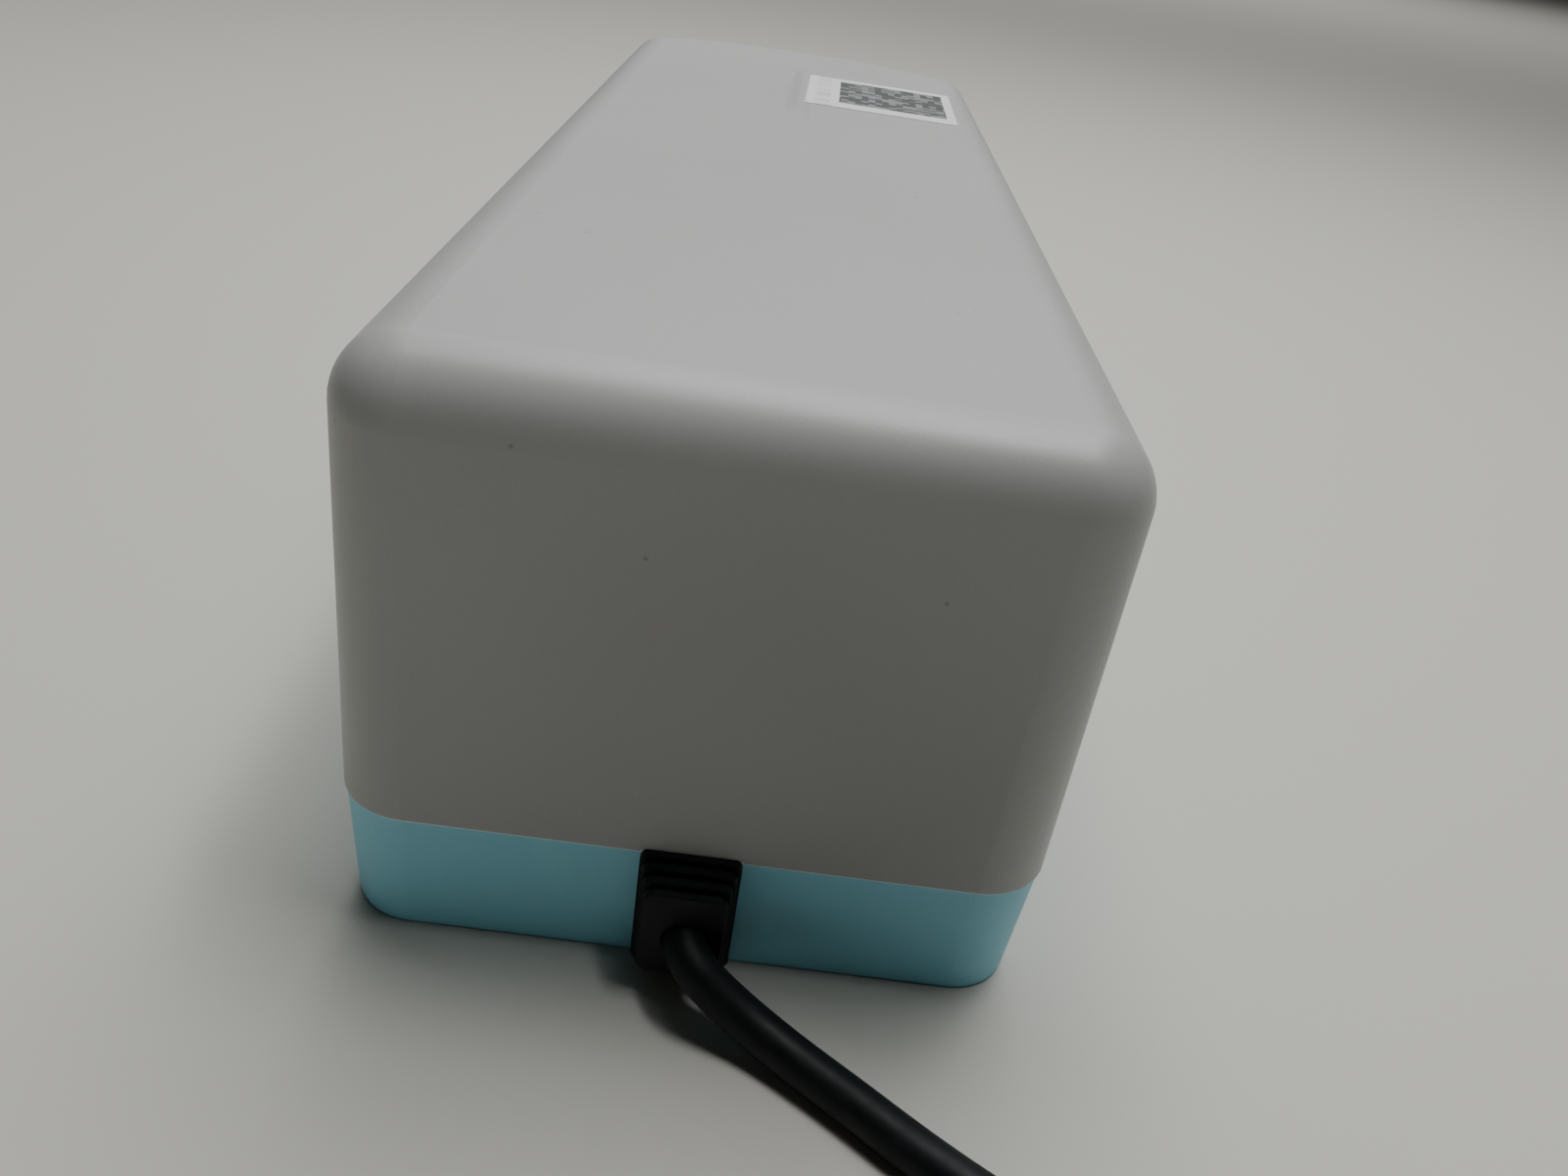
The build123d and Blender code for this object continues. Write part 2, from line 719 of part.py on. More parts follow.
def make_windings():
    """Copper in the slots and in the two end turns."""
    low = core_middle - core_length / 2
    high = low + core_length
    bars = Circle(winding_radius) - slot_ring(winding_radius + 1, 11.2, 2.4) - Circle(11.2)
    wound = along_y(bars, low - 1, high + 1)
    for y0 in (low - winding_overhang, high):
        ring = rod_y(winding_radius, y0, y0 + winding_overhang, worm_x, motor_z)
        wound += chamfer(ring.edges(), 2)
    return wound - rod_y(motor_shaft_radius + 1.5, can_rear, case_rear, worm_x, motor_z)


def make_commutator():
    y = commutator_rear()
    bars = slot_ring(commutator_radius, commutator_radius - 0.8, 0.5)
    drum = along_y(bars, y, y + commutator_length)
    drum += rod_y(8, y, core_middle - core_length / 2 - winding_overhang, worm_x, motor_z)
    return drum - rod_y(motor_shaft_radius + 0.02, y - 1, case_rear, worm_x, motor_z)


def make_tie_bolts():
    rear = can_rear - cap_length
    bolts = []
    for z in tie_bolt_heights():
        head = rod_y(3.4, rear - 3, rear, worm_x, z) - rod_y(1.6, rear - 4, rear - 1.2, worm_x, z)
        bolts.append(head + rod_y(tie_bolt_radius, rear, case_rear + 3.5, worm_x, z))
    return bolts


def make_cradle():
    """A saddle between the chassis and the motor."""
    middle = (can_rear + core_middle) / 2
    along = (middle - cradle_length / 2, middle + cradle_length / 2)
    saddle = block(worm_x - 16, worm_x + 24, *along, chassis_top, 34)
    return saddle - rod_y(can_radius, can_rear - 20, case_rear, worm_x, motor_z)


# ------------------------------------------------------------------ limit unit
def spur(teeth, low, y, turned):
    section = Rot(0, 0, turned) * toothed(teeth, limit_module, limit_play)
    return Pos(0, y, low) * extrude(section, limit_width)


def make_pinion():
    return spur(pinion_teeth, train_low, gear_y, 0) - rod(pinion_bore, 0, case_height, 0, gear_y)


def make_idler():
    wheel = spur(limit_teeth, train_low, idler_y, 180 / limit_teeth)
    wheel += rod(pinion_teeth * limit_module / 2 - 1, train_low - 0.8, train_high + 1, 0, idler_y)
    wheel += spur(pinion_teeth, train_high, idler_y, 0)
    return wheel - rod(axle_radius + bore_gap, 0, case_height, 0, idler_y)


def lobed_disc(low, turned):
    disc = rod(cam_radius, low, low + cam_width, 0, cam_y)
    ramp = math.radians(24)
    top = lobe_radius
    points = [(cam_radius * math.cos(a), cam_radius * math.sin(a)) for a in (-ramp, ramp)]
    lobe = make_face(Polyline((0, 0), points[0], (top, -3.5), (top, 3.5), points[1], close=True))
    return disc + Pos(0, cam_y, low) * Rot(0, 0, turned) * extrude(lobe, cam_width)


def make_cam():
    wheel = spur(limit_teeth, train_high, cam_y, 180 / limit_teeth)
    wheel += rod(5, train_high - 0.8, cam_low + 2 * cam_width + 1, 0, cam_y)
    wheel += lobed_disc(cam_low, 90) + lobed_disc(cam_low + cam_width + 1, -90)
    return wheel - rod(axle_radius + bore_gap, 0, case_height, 0, cam_y)


def switch_post_x():
    return limit_teeth * limit_module / 2 + limit_module + 1.4


def make_bracket():
    front = cam_y + 14
    plate = block(-bracket_half, bracket_half, gear_y - 20, front, lid_top, bracket_top)
    plate -= rod(circlip_radius + 2, lid_top - 1, bracket_top + 1, 0, gear_y)
    for side in (-1, 1):
        x = sorted((side * switch_post_x(), side * (switch_post_x() + 4)))
        plate += block(*x, cam_y - 8, cam_y + 9, lid_top, cam_low - 0.4)
        plate -= rod(screw_radius + bore_gap, lid_top - 1, bracket_top + 1, side * 20, gear_y - 16)
    for y in (idler_y, cam_y):
        plate -= rod(axle_radius, 0, case_height, 0, y)
    for x, y in lid_screw_places():
        plate -= rod(screw_head_radius + 0.5, lid_top - 1, bracket_top + 1, x, y)
    return plate


def make_axles():
    """Shouldered pins, each with a head that keeps its gear on."""
    pins = []
    idler = (idler_y, train_low - 1, train_high + limit_width + 1.2)
    cam = (cam_y, train_high - 1, cam_low + 2 * cam_width + 1.2)
    for y, seat, top in (idler, cam):
        pin = rod(axle_radius, lid_top, top, 0, y) + rod(axle_radius + 1, bracket_top, seat, 0, y)
        pins.append(pin + rod(axle_radius + 1.5, top, top + 1.2, 0, y))
    return pins


def lever_pivot(side):
    return side * (lobe_radius + lever_clearance + 1.3), cam_y - 9


def lever_low(side):
    return cam_low + (0.3 if side < 0 else cam_width + 1.3)


def make_switch(side):
    px, py = lever_pivot(side)
    wide, long, tall = switch_body
    inner = abs(px) + 1.7
    x = sorted((side * inner, side * (inner + wide)))
    body = block(*x, cam_y - 10, cam_y - 10 + long, cam_low - 0.4, cam_low - 0.4 + tall)
    low = lever_low(side)
    ear = sorted((px - side * 1.2, side * (inner + 0.5)))
    for z in (low - 0.8, low + 2.5):
        body += block(*ear, py - 1.2, py + 1.2, z, z + 0.7)
    return body + rod(0.6, low - 0.5, low + 2.9, px, py)


def make_lever(side):
    px, py = lever_pivot(side)
    low = lever_low(side)
    near = sorted((px - side * 1.2, px - side * 0.8))
    lever = rod(1.2, low, low + 2.4, px, py) + block(*near, py, py + 17, low, low + 2.4)
    return lever - rod(0.6 + bore_gap, low - 1, low + 3.4, px, py)


# ------------------------------------------------------------------ chassis and electrics
def make_chassis():
    rear = rear_y + chassis_inset
    half = chassis_width / 2
    plate = block(-half, half, rear, chassis_front, deck, chassis_top)
    plate = fillet(plate.edges().filter_by(Axis.Z), 5)
    plate -= rod(output_radius + bush_wall + 0.5, deck - 1, chassis_top + 1, 0, gear_y)
    for x, y in chassis_places():
        plate -= rod(screw_radius + fit_gap, deck - 1, chassis_top + 1, x, y)
    for x, y in transformer_bolts():
        plate -= rod(transformer_bolt, deck - 1, chassis_top + 1, x, y)
    return plate


def transformer_bolts():
    y = rear_y + transformer_inset
    x = (core_width - core_leg) / 2
    return [(transformer_x - x, y), (transformer_x + x, y)]


def make_core_stack():
    y = rear_y + transformer_inset
    half = core_stack / 2
    x0 = transformer_x - core_width / 2
    core = block(x0, x0 + core_width, y - half, y + half, chassis_top, chassis_top + core_height)
    low, high = chassis_top + core_leg, chassis_top + core_height - core_leg
    for side in (-1, 1):
        x = sorted((transformer_x + side * core_leg, transformer_x + side * 2 * core_leg))
        core -= block(*x, y - half - 1, y + half + 1, low, high)
    for bx, by in transformer_bolts():
        core -= rod(transformer_bolt + bore_gap, 0, case_height, bx, by)
    return core


def make_transformer_coil():
    y = rear_y + transformer_inset
    out_x, out_y = 2 * core_leg - fit_gap, core_stack / 2 + coil_bulge
    in_x, in_y = core_leg + fit_gap, core_stack / 2 + fit_gap
    low, high = chassis_top + core_leg, chassis_top + core_height - core_leg
    coil = block(transformer_x - out_x, transformer_x + out_x, y - out_y, y + out_y, low, high)
    coil = fillet(coil.edges().filter_by(Axis.Z), 4)
    return coil - block(transformer_x - in_x, transformer_x + in_x, y - in_y, y + in_y, low - 1, high + 1)


def make_transformer_bolts():
    top = chassis_top + core_height
    bolts = []
    for x, y in transformer_bolts():
        head = rod(transformer_bolt + 1.6, top, top + 3, x, y) - rod(1.5, top + 1.4, top + 4, x, y)
        bolts.append(head + rod(transformer_bolt, deck, top, x, y))
    return bolts


def terminal_box():
    x, y = terminal_x, rear_y + terminal_inset
    wide, long, tall = terminal_size
    return x - wide / 2, x + wide / 2, y - long / 2, y + long / 2, chassis_top, chassis_top + tall


def terminal_ways():
    return [terminal_x + 9 * k for k in (-1, 0, 1)]


def make_terminal():
    x0, x1, y0, y1, z0, z1 = terminal_box()
    box = block(x0, x1, y0, y1, z0, z1)
    box = chamfer(box.faces().sort_by(Axis.Z)[-1].edges(), 0.8)
    for x in terminal_ways():
        box -= rod(2.2, z1 - 5, z1 + 1, x, (y0 + y1) / 2)
        box -= rod_y(1.3, y0 - 1, y0 + 5, x, z0 + 6)
    return box


def make_supply_leads():
    """Three cores from the back of the strain relief to the terminal block."""
    leads = []
    y1 = terminal_box()[2]
    start = rear_y + seam_step + base_wall + 2.2
    for k, x in enumerate(terminal_ways()):
        x0 = 2.4 * (k - 1)
        z = chassis_top + 6
        way = [
            (x0, start, cord_z),
            (x0, start + 3.5, cord_z),
            (x - 2, y1 - 5.5, z),
            (x, y1, z),
            (x, y1 + 4.5, z),
        ]
        path = Polyline(*way)
        section = Plane(origin=path @ 0, z_dir=path % 0) * Circle(lead_radius)
        leads.append(sweep(section, path=path, transition=Transition.ROUND))
    return leads


def make_board():
    return block(board_x - board_sheet, board_x, board_rear, board_front, board_low, board_high)


def on_board(y0, y1, z0, z1, tall):
    """A block on the inner face of the control board."""
    face = board_x - board_sheet
    return block(face - tall, face, y0, y1, z0, z1)


def make_relays():
    return [chamfer(on_board(y, y + 16, 80, 100, 15).edges(), 0.5) for y in (-6.0, 14.0)]


def make_capacitors():
    face = board_x - board_sheet
    pieces = []
    for y, radius, tall in ((-46.0, 8.0, 24.0), (-28.0, 5.0, 14.0), (-28.0, 5.0, 14.0)):
        z = 84.0 if len(pieces) < 2 else 70.0
        can = rod_x(radius, face - tall, face, y, z)
        pieces.append(chamfer(can.faces().sort_by(Axis.X)[0].edges(), 0.8))
    return pieces


def make_connectors():
    pieces = []
    for k in range(3):
        y = -50.0 + 22 * k
        plug = on_board(y, y + 18, 34, 44, 9)
        for way in range(3):
            plug -= rod(1.6, 40, 45, board_x - board_sheet - 4.5, y + 3.5 + 5.5 * way)
        pieces.append(plug)
    return pieces


def make_tacts():
    pieces = []
    for y in button_ys:
        body = block(board_x, board_x + tact_height - 1, y - 3, y + 3, button_z - 3, button_z + 3)
        pieces.append(body + rod_x(1.7, board_x, board_x + tact_height, y, button_z))
    return pieces


def make_pots():
    return [rod_x(5.5, board_x, board_x + pot_height, y, dial_z) for y in dial_ys]


def make_lamp_board():
    y = front_y - lamp_inset
    return block(-lamp_half_width, lamp_half_width, y, y + board_sheet, lamp_low, lamp_high)


def make_leds():
    y = front_y - lamp_inset + board_sheet
    pieces = []
    for row in range(led_rows):
        for column in range(led_columns):
            x = (column - (led_columns - 1) / 2) * 15
            z = (lamp_low + lamp_high) / 2 + (row - 0.5) * 16
            pieces.append(block(x - 2.5, x + 2.5, y, y + 1.6, z - 2.5, z + 2.5))
    return pieces


# ------------------------------------------------------------------ cord
def cord_radii(points):
    """Each arc is as large as its two runs allow."""
    runs = [Vector(*b) - Vector(*a) for a, b in zip(points, points[1:])]
    radii = []
    for one, two in zip(runs, runs[1:]):
        turn = math.radians(one.get_angle(two))
        radii.append(0.45 * min(one.length, two.length) / math.tan(turn / 2))
    return radii


def cord_tube(points, radius):
    """Straight runs joined by tangent arcs."""
    path = FilletPolyline(*points, radius=cord_radii(points))
    return sweep(Plane(origin=path @ 0, z_dir=path % 0) * Circle(radius), path=path)


def laid_tube(name, points):
    tube = cord_tube(points, cord_radius)
    length = FilletPolyline(*points, radius=cord_radii(points)).length
    share = tube.volume / (math.pi * cord_radius**2 * length)
    print(f"{name}: {length:.1f} mm, volume over section times length {share:.4f}")
    print("  radii", [round(r, 1) for r in cord_radii(points)])
    return tube


def make_relief():
    neck = relief_neck / 2
    inner = relief_face + base_wall + 0.35
    core = (relief_front_low + groove_depth, relief_front_high - groove_depth)
    relief = block(-neck, neck, relief_end + 1, relief_face, *core)
    relief += block(-neck, neck, relief_face, inner + 0.5, base_floor + 1, base_height - 0.1)
    relief += block(-9.4, 9.4, inner, inner + 1.9, base_floor + 0.7, base_height - 0.5)
    rim = relief_width / 2 + 1
    behind = base_form(seam_step - 0.05, base_height)
    behind += block(-rim, rim, relief_face, relief_face + 5, base_height - 0.1, relief_high + 1)
    for k in range(relief_ribs):
        share = k / (relief_ribs - 1)
        half = (relief_width + (relief_front_width - relief_width) * share) / 2
        low = relief_low + (relief_front_low - relief_low) * share
        high = relief_high + (relief_front_high - relief_high) * share
        y = relief_face - rib_thickness - k * (rib_thickness + rib_groove)
        back = y + rib_thickness + (relief_heel if k == 0 else 0)
        rib = block(-half, half, y, back, low, high)
        rib = fillet(rib.edges().filter_by(Axis.Y), 2.2)
        relief += chamfer(rib.faces().sort_by(Axis.Y)[0].edges(), 0.35) - behind
    return relief - cord_tube(cord_lay[:4], cord_radius + bore_gap)




def coil_point(turns):
    """The cord's middle at a number of turns from where it joins the coil."""
    about = math.radians(coil_start - 360 * turns)
    twist = math.radians(-45 - 90 * turns)
    r = coil_radius + coil_twist * math.cos(twist)
    x = coil_centre[0] + r * math.cos(about)
    y = coil_centre[1] + r * math.sin(about)
    return x, y, coil_z + coil_twist * math.sin(twist)


def make_coil():
    """The outer shape of the bundle of turns: a plain ring."""
    return Pos(*coil_centre, coil_z) * Torus(coil_radius, bundle_radius)


def make_tie():
    """A strap round the bundle, at the coil's far left."""
    x = coil_centre[0] - coil_radius
    half = bundle_radius + fit_gap
    loop = Box(2 * (half + tie_sheet), tie_width, 2 * (half + tie_sheet))
    loop = fillet(loop.edges().filter_by(Axis.Y), 5)
    hole = fillet(Box(2 * half, tie_width + 2, 2 * half).edges().filter_by(Axis.Y), 4.4)
    return Pos(x, coil_centre[1], coil_z) * (loop - hole)


def plug_frame(shape):
    return Pos(*plug_start) * Rot(0, 0, plug_turn) * shape


def make_plug():
    """A round earthed plug lying on its side, its pins forward along its own X."""
    length = plug_tail + plug_length
    body = rod_x(plug_radius, plug_tail, length, 0, 0)
    body = fillet(body.faces().sort_by(Axis.X)[0].edges(), 6)
    body = chamfer(body.faces().sort_by(Axis.X)[-1].edges(), 1)
    body += Pos(plug_tail / 2 + 1, 0, 0) * Rot(0, 90, 0) * Cone(cord_radius + 1.2, 9, plug_tail + 2)
    for k in range(9):
        a = 360 * (k + 0.5) / 9
        rib = block(plug_tail + 8, length - 8, -1.5, 1.5, plug_radius - 0.8, plug_radius + 1)
        body -= Rot(a, 0, 0) * rib
    for side in (-1, 1):
        body -= rod_x(pin_root_radius, length - pin_root_depth, length + 1, 0, side * pin_spacing / 2)
        notch = sorted((side * (plug_radius - 2.5), side * (plug_radius + 1)))
        body -= block(length - 14, length + 1, *notch, -4, 4)
    return plug_frame(body)


def make_pins():
    length = plug_tail + plug_length
    pins = []
    for side in (-1, 1):
        out = side * pin_spacing / 2
        pin = rod_x(pin_radius, length + pin_root_stand, length + pin_length, 0, out)
        pin = chamfer(pin.faces().sort_by(Axis.X)[-1].edges(), pin_tip)
        pin += rod_x(pin_root_radius, length - pin_root_depth, length + pin_root_stand, 0, out)
        pins.append(plug_frame(pin))
    return pins


def make_clips():
    length = plug_tail + plug_length
    clips = []
    for side in (-1, 1):
        out = sorted((side * (plug_radius - 2.5), side * (plug_radius - 1.7)))
        clips.append(plug_frame(block(length - 14, length - 0.2, *out, -3.6, 3.6)))
    return clips


# ------------------------------------------------------------------ fasteners
def make_case_screws():
    return [screw(x, y, screw_seat, post_foot - screw_seat + screw_bite, True) for x, y in post_places()]


def make_chassis_screws():
    return [screw(x, y, chassis_top, 12, False) for x, y in chassis_places()]


def make_lid_screws():
    return [screw(x, y, lid_top, lid_height + 12, False) for x, y in lid_screw_places()]


def make_bracket_screws():
    return [screw(side * 20, gear_y - 16, bracket_top, 5.5, False) for side in (-1, 1)]


def make_inserts():
    pieces = []
    for x, y in insert_places():
        nut = rod(insert_radius, 0, insert_length, x, y) - rod(insert_bore, -1, insert_length + 1, x, y)
        pieces.append(nut)
    return pieces


def make_hinge_pin():
    x, z = hinge_place()
    return rod_y(hinge_pin_radius, window_rear - 1.5, window_front + 1.5, x, z)


os.makedirs("parts", exist_ok=True)

save("base_tray", make_base())
save("cover_shell", make_shell())
save("light_lens", make_lens())
save("control_panel", make_panel())
save("control_flap", make_flap())
save("flap_hinge_pin", make_hinge_pin())
save("housing_screws", *make_case_screws())
save("threaded_inserts", *make_inserts())
save("chassis_plate", make_chassis())

save("gearbox_case", make_case())
save("gearbox_lid", make_lid())
save("output_shaft", make_output_shaft())
save("output_bushes", *make_bushes())
save("shaft_key", key_block(0, 0))
save("shaft_circlip", make_circlip())
save("worm_wheel", make_wheel())
save("worm_shaft", make_worm())
save("worm_bearings", *make_bearings())

save("motor_can", make_can())
save("motor_end_cap", make_end_cap())
save("motor_tie_bolts", *make_tie_bolts())
save("motor_cradle", make_cradle())
save("motor_magnets", *make_magnets())
save("armature_core", make_core())
save("armature_windings", make_windings())
save("commutator", make_commutator())
save("motor_brushes", *make_brushes())

save("limit_bracket", make_bracket())
save("machine_screws", *make_chassis_screws(), *make_lid_screws(), *make_bracket_screws())
save("limit_pinion", make_pinion())
save("limit_idler", make_idler())
save("limit_cam_gear", make_cam())
save("limit_axles", *make_axles())
save("limit_switches", make_switch(-1), make_switch(1))
save("open_limit_lever", make_lever(-1))
save("close_limit_lever", make_lever(1))

save("transformer_core", make_core_stack())
save("transformer_coil", make_transformer_coil())
save("transformer_bolts", *make_transformer_bolts())
save("mains_terminal", make_terminal())
save("supply_leads", *make_supply_leads())
save("control_board", make_board())
save("board_relays", *make_relays())
save("board_capacitors", *make_capacitors())
save("board_connectors", *make_connectors())
save("tact_switches", *make_tacts())
save("force_pots", *make_pots())
for label, place in zip(("open", "close", "learn"), button_ys):
    save(f"button_{label}", make_button(place))
for label, place in zip(("open", "close"), dial_ys):
    save(f"force_dial_{label}", make_dial(place))
save("lamp_board", make_lamp_board())
save("lamp_leds", *make_leds())

save("strain_relief", make_relief())
joined = [*cord_lay, coil_point(0)]
leaving = [
    coil_point(coil_turns),
    (53.0, -386.8, 11.6),
    (37.0, -381.0, 14.2),
    (25.0, -369.6, plug_radius),
    plug_start,
]
coil = make_coil()
save("mains_cord", laid_tube("from the case", joined) - coil, laid_tube("to the plug", leaving) - coil)
save("cord_coil", coil)
save("cord_tie", make_tie())
save("plug_body", make_plug())
save("plug_contacts", *make_pins(), *make_clips())
print("cord", round(2 * math.pi * coil_radius * coil_turns), "mm in the coil")
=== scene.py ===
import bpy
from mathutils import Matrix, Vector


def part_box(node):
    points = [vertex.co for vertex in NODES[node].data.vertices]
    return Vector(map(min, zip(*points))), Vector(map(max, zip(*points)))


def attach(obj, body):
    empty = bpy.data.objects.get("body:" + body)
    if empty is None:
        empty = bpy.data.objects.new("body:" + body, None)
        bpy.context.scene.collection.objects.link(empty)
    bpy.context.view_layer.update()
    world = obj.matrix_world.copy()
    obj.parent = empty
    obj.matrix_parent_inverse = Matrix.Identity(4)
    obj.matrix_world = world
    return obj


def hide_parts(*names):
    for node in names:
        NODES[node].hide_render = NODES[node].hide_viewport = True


bl_info = {
    "name": "Garage door opener",
    "version": (1, 0, 0),
    "blender": (4, 5, 0),
    "location": "View3D > Sidebar > Opener",
    "description": "Dresses the head of a garage door opener and lights it",
    "category": "Object",
}

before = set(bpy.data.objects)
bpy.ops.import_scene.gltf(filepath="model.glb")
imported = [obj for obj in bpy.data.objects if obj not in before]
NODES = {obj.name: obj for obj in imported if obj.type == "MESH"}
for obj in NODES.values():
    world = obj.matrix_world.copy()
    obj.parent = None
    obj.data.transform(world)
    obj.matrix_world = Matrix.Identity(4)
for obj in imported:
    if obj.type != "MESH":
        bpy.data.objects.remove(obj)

import math

import bmesh
import bpy
from bpy.props import FloatProperty, FloatVectorProperty, IntProperty, PointerProperty
from mathutils import Matrix, Vector

LENGTH = {"subtype": "DISTANCE", "unit": "LENGTH"}
TO_SIDE = (math.pi / 2, 0.0, math.pi / 2)


# ------------------------------------------------------------------ shader arithmetic
class Value:
    """A shader socket that can be written in sums and products."""

    def __init__(self, finish, socket):
        self.finish = finish
        self.socket = socket

    def math(self, operation, first, second):
        return self.finish.node("ShaderNodeMath", {"operation": operation}, {0: first, 1: second})

    def __add__(self, other):
        return self.math("ADD", self, other)

    def __radd__(self, other):
        return self.math("ADD", other, self)

    def __sub__(self, other):
        return self.math("SUBTRACT", self, other)

    def __rsub__(self, other):
        return self.math("SUBTRACT", other, self)

    def __mul__(self, other):
        return self.math("MULTIPLY", self, other)

    def __rmul__(self, other):
        return self.math("MULTIPLY", other, self)

    def __truediv__(self, other):
        return self.math("DIVIDE", self, other)

    def __gt__(self, other):
        return self.math("GREATER_THAN", self, other)

    def __lt__(self, other):
        return self.math("LESS_THAN", self, other)


class Finish:
    """A material in the making, with its shader and its pattern space."""

    def __init__(self, name):
        self.material = bpy.data.materials.new(name)
        self.material.use_nodes = True
        self.tree = self.material.node_tree
        self.tree.nodes.clear()
        self.shader = self.tree.nodes.new("ShaderNodeBsdfPrincipled")
        output = self.tree.nodes.new("ShaderNodeOutputMaterial")
        self.tree.links.new(self.shader.outputs[0], output.inputs[0])
        self.place = self.node("ShaderNodeTexCoord", {}, {}, "Object")

    def feed(self, socket, value):
        if isinstance(value, Value):
            self.tree.links.new(value.socket, socket)
        else:
            socket.default_value = value

    def node(self, kind, settings, values, output=0):
        made = self.tree.nodes.new(kind)
        for key, setting in settings.items():
            setattr(made, key, setting)
        for key, value in values.items():
            self.feed(made.inputs[key], value)
        return Value(self, made.outputs[output])

    def noise(self, size, detail=3.0, rough=0.5, vector=None):
        """Cloudy variation from 0 to 1, with features of about the given size in metres."""
        values = {"Vector": vector or self.place, "Scale": 1 / size, "Detail": detail, "Roughness": rough}
        return self.node("ShaderNodeTexNoise", {}, values)

    def cells(self, size, feature="F1", output="Distance", vector=None):
        values = {"Vector": vector or self.place, "Scale": 1 / size}
        return self.node("ShaderNodeTexVoronoi", {"feature": feature}, values, output)

    def reshape(self, operation, value):
        return self.node("ShaderNodeMath", {"operation": operation}, {0: value})

    def stretch(self, scale, turn=(0.0, 0.0, 0.0), shift=(0.0, 0.0, 0.0)):
        values = {"Vector": self.place, "Scale": scale, "Rotation": turn, "Location": shift}
        return self.node("ShaderNodeMapping", {}, values)

    def axis(self, name, vector=None):
        return self.node("ShaderNodeSeparateXYZ", {}, {0: vector or self.place}, name)

    def spread(self, value, low, high, start=0.0, end=1.0):
        """The stretch from low to high, spread over start to end and held there."""
        values = {"Value": value, "From Min": low, "From Max": high, "To Min": start, "To Max": end}
        return self.node("ShaderNodeMapRange", {"clamp": True}, values)

    def mix(self, share, first, second):
        values = {0: share, 6: first, 7: second}
        return self.node("ShaderNodeMix", {"data_type": "RGBA"}, values, 2)

    def bump(self, height, distance, strength=1.0):
        values = {"Height": height, "Distance": distance, "Strength": strength}
        self.feed(self.shader.inputs["Normal"], self.node("ShaderNodeBump", {}, values))

    def surface(self, **values):
        names = {"colour": "Base Color", "rough": "Roughness", "metal": "Metallic", "coat": "Coat Weight"}
        names |= {"coat_rough": "Coat Roughness", "clear": "Transmission Weight", "ior": "IOR"}
        names |= {"specular": "Specular IOR Level"}
        for key, value in values.items():
            self.feed(self.shader.inputs[names[key]], value)
        return self.material


def tone(colour, factor=1.0):
    return (*(min(1.0, part * factor) for part in colour[:3]), 1.0)


# ------------------------------------------------------------------ finishes
def moulded_plastic(name, colour, rough=0.5, grain=0.00045, depth=0.00004, specks=0.05, seam_highlight_z=None):
    """Satin moulding: fine spark texture, faint flow shading, dust specks and hairline scuffs; given a seam
    height, also a painted highlight band just below the seam.
    """
    f = Finish(name)
    flow = f.spread(f.noise(0.11, 2.0), 0.3, 0.7)
    fine = f.noise(grain, 2.0, 0.6)
    dust = f.spread(f.cells(0.011), 0.030, 0.055, 1.0, 0.0) * (f.noise(0.02, 1.0) > 0.56)
    scuff_way = f.stretch((70.0, 3.0, 40.0), (0.2, 0.1, 0.5))
    scuffs = f.spread(f.noise(0.9, 2.0, 0.5, scuff_way), 0.70, 0.74)
    body = f.mix(flow, tone(colour, 0.965), tone(colour, 1.03))
    body = f.mix(f.spread(fine, 0.3, 0.7) * 0.16, body, tone(colour, 0.72))
    body = f.mix(dust * specks * 10, body, tone(colour, 0.35))
    body = f.mix(scuffs * 0.10, body, tone(colour, 1.25))
    if seam_highlight_z:
        # Painted highlight: a pale band just below the seam stands in for light caught along the base's top
        # edge.
        edge = f.spread(f.axis("Z"), seam_highlight_z - 0.00090, seam_highlight_z - 0.00065)
        body = f.mix(edge * 0.6, body, (0.92, 0.97, 0.98, 1.0))
    f.bump(fine * 1.0 - dust * 0.4, depth, 0.6)
    return f.surface(colour=body, rough=f.spread(fine, 0.2, 0.8, rough - 0.06, rough + 0.08) - scuffs * 0.08)


def black_rubber(name, rough=0.42, colour=(0.0025, 0.0042, 0.0050)):
    f = Finish(name)
    cloud = f.noise(0.006, 3.0)
    fine = f.noise(0.0004, 2.0)
    dust = f.spread(f.noise(0.003, 4.0, 0.7), 0.60, 0.78)
    body = f.mix(cloud, tone(colour), tone(colour, 1.8))
    body = f.mix(dust * 0.05, body, (0.12, 0.115, 0.11, 1.0))
    f.bump(fine, 0.00003, 0.5)
    return f.surface(colour=body, rough=f.spread(cloud, 0.3, 0.7, rough - 0.05, rough + 0.12), specular=0.28)


def plated_sheet(name, colour=(0.56, 0.56, 0.53)):
    """Zinc plating: crystal patches with rolling marks."""
    f = Finish(name)
    patch = f.cells(0.009, output="Color")
    grey = f.node("ShaderNodeRGBToBW", {}, {0: patch})
    roll = f.noise(0.35, 2.0, 0.6, f.stretch((1.0, 260.0, 260.0)))
    body = f.mix(grey * 0.5 + roll * 0.3, tone(colour, 0.8), tone(colour, 1.12))
    f.bump(roll, 0.00002, 0.4)
    return f.surface(colour=body, rough=f.spread(grey + roll * 0.5, 0.2, 1.2, 0.26, 0.46), metal=1.0)


def turned_metal(name, colour=(0.50, 0.50, 0.50), rough=0.26, along="Z"):
    """Machined metal with fine lathe marks across the given axis."""
    f = Finish(name)
    rings = f.axis(along) * 9000.0
    marks = f.reshape("SINE", rings) * 0.5 + f.noise(0.0012, 2.0)
    stain = f.spread(f.noise(0.008, 4.0, 0.65), 0.45, 0.8)
    body = f.mix(stain * 0.5, tone(colour), tone(colour, 0.72))
    f.bump(marks, 0.000008, 0.5)
    return f.surface(colour=body, rough=f.spread(stain, 0.0, 1.0, rough, rough + 0.16), metal=1.0)


